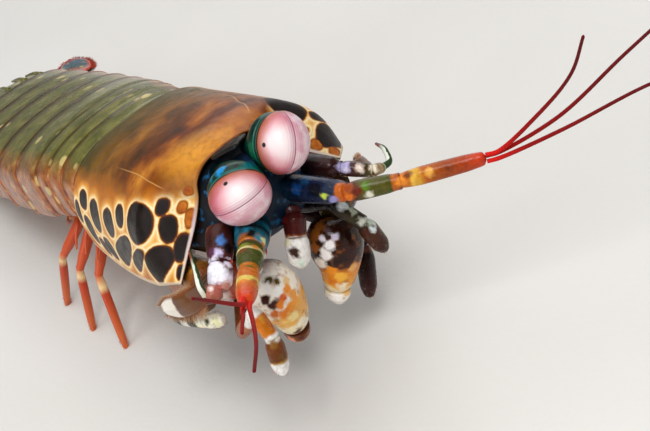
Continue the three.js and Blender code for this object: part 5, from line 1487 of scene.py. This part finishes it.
def make_legs(fringe):
    generator = np.random.default_rng(29)
    look = Look("walking_leg_shell", Roughness=0.32, Coat_Weight=0.45, Coat_Roughness=0.15)
    base = look.ramp(look.map(look.add("reach", look.noise(1.2)), 0, 28), [
        (0.0, "6a5a24"), (0.16, "8a4a1e"), (0.2, "e0b070"), (0.24, "b8431c"), (0.55, "c9522a"),
        (0.62, "eac890"), (0.66, "b83c1c"), (1.0, "d06a34"),
    ])
    material = look.finish(base, None, [(0.5, 0.05)])
    for number, knee_and_foot in LEGS.items():
        _, start, length, size = THORAX_RINGS[number]
        for name, sign in SIDES:
            mirror = np.array([sign, 1, 1])
            root = spine_place(start + length / 2, 6 * sign, 0.8 - size[2])
            elbow = root + mirror * (4.4, -0.5, -3.4)
            knee, foot = knee_and_foot * mirror
            shape = Shape()
            limb(shape, [root, elbow, knee, foot], LEG_FULLNESS, BACK, 0.4, 1.0, 24)
            whip(shape, elbow + mirror * [(0, 0, 0), (2.8, -1.8, -0.6), (5, -2.6, -3.4)],
                 0.5, 0.15, BACK, 12, 30, 8.0)
            shape.stay_above_floor()
            shape.dress(f"walking_leg_{number}_{name}", material, "walking_leg")
            pick, turn, out = skin_places(generator, knee, foot, 0.72, 0.93, LEG_BRISTLES, BACK)
            roots = knee + (foot - knee) * pick[:, None] + out * 0.4
            fringe.add(roots, out * 0.5 + unit(foot - knee) * 0.9, 0.8, 0.03, (pick * 0.5, turn / 7), 0.15)


# Camera and light
CAMERA_DISTANCE = 200.0
CAMERA_DIRECTION = head_direction(-0.275, 0.342, 0.899)
CAMERA_RIGHT = head_direction(0.758, -0.498, 0.421)
CAMERA_UP = head_direction(0.592, 0.797, -0.122)
CAMERA_SWING = (-0.0412, 0.0295)
CAMERA_LENS = 86.4
CAMERA_SENSOR, CAMERA_CLIP = 36.0, (0.01, 20.0)
EYES_MIDDLE = head([0, 0, 0])


def in_metres(place):
    return Vector((np.asarray(place) + SHIFT) * MM)


def make_camera():
    data = bpy.data.cameras.new("camera")
    data.lens = CAMERA_LENS
    data.sensor_width = CAMERA_SENSOR
    data.clip_start, data.clip_end = CAMERA_CLIP
    camera = bpy.data.objects.new("camera", data)
    bpy.context.scene.collection.objects.link(camera)
    back = unit(CAMERA_DIRECTION + CAMERA_SWING[0] * CAMERA_RIGHT + CAMERA_SWING[1] * CAMERA_UP)
    right = unit(CAMERA_RIGHT - back * (CAMERA_RIGHT @ back))
    matrix = Matrix(np.stack([right, np.cross(back, right), back], -1).tolist()).to_4x4()
    matrix.translation = in_metres(EYES_MIDDLE + CAMERA_DISTANCE * CAMERA_DIRECTION)
    camera.matrix_world = matrix
    bpy.context.scene.camera = camera


def make_light(name, place, aim, size, power, tint=(1, 1, 1)):
    data = bpy.data.lights.new(name, "AREA")
    data.shape = "DISK"
    data.size = size
    data.energy = power
    data.color = tint
    light = bpy.data.objects.new(name, data)
    bpy.context.scene.collection.objects.link(light)
    light.location = in_metres(place)
    light.rotation_mode = "QUATERNION"
    light.rotation_quaternion = (light.location - in_metres(aim)).to_track_quat("Z", "Y")


WORLD_COLOUR, WORLD_STRENGTH = (0.82, 0.86, 0.9, 1), 0.22
FLOOR_SIZE = 6.0
# Lights: a size is in metres and a power in watts
FRONT_AIM = head([0, -6, -10])
KEY_PLACE = EYES_MIDDLE + 420 * unit(CAMERA_DIRECTION + 0.4 * CAMERA_UP - 0.2 * CAMERA_RIGHT)


def make_stage():
    bpy.ops.mesh.primitive_plane_add(size=FLOOR_SIZE, location=(0, 0, 0))
    floor = bpy.context.object
    floor.name = "floor"
    look = Look("floor_paper", Roughness=0.85)
    base = look.ramp(look.noise(60.0, 2.0), [(0.3, "d9d6d0"), (0.7, "e0ddd8")])
    floor.data.materials.append(look.finish(base, None, [(1.0, 0.05)]))
    world = bpy.data.worlds.new("studio")
    world.use_nodes = True
    world.node_tree.nodes["Background"].inputs["Color"].default_value = WORLD_COLOUR
    world.node_tree.nodes["Background"].inputs["Strength"].default_value = WORLD_STRENGTH
    bpy.context.scene.world = world
    bpy.context.scene.view_settings.view_transform = "Standard"
    make_light("key", KEY_PLACE, FRONT_AIM, 0.2, 1.15)
    make_light("fill", head([-330, 140, 60]), FRONT_AIM, 0.4, 0.6, (0.95, 0.97, 1.0))
    make_light("top", (60, 90, 480), (0, 60, 10), 0.5, 1.0)
    make_light("back", (250, 330, 220), (0, 100, 12), 0.4, 0.6)


def bristle_look(name, stops):
    look = Look(name, Roughness=0.5)
    return look.finish(look.ramp(look.number("tip"), stops))


make_camera()
make_carapace()
make_core()
make_rostrum()
make_rings()
make_telson()
make_eyes()
make_stalks()
make_feelers()
make_claws()

red = bristle_look("red_bristles", [(0.0, "8a2414"), (0.6, "c8391e"), (1.0, "e0704a")])
pale = bristle_look("pale_bristles", [(0.0, "8a4a2a"), (1.0, "e0b890")])
for seed, makers, name, look, slot in (
    (101, [make_uropods], "tail_fan_bristles", red, "tail_fan"),
    (102, [make_swimming_legs, make_legs], "leg_bristles", red, "walking_leg"),
    (103, [make_scales], "scale_bristles", pale, "antennal_scale"),
    (104, [make_maxillipeds], "mouth_limb_bristles", pale, "mouth_limb"),
):
    fringe = Fringe(seed)
    for make in makers:
        make(fringe)
    fringe.build(name, look, slot)
make_stage()
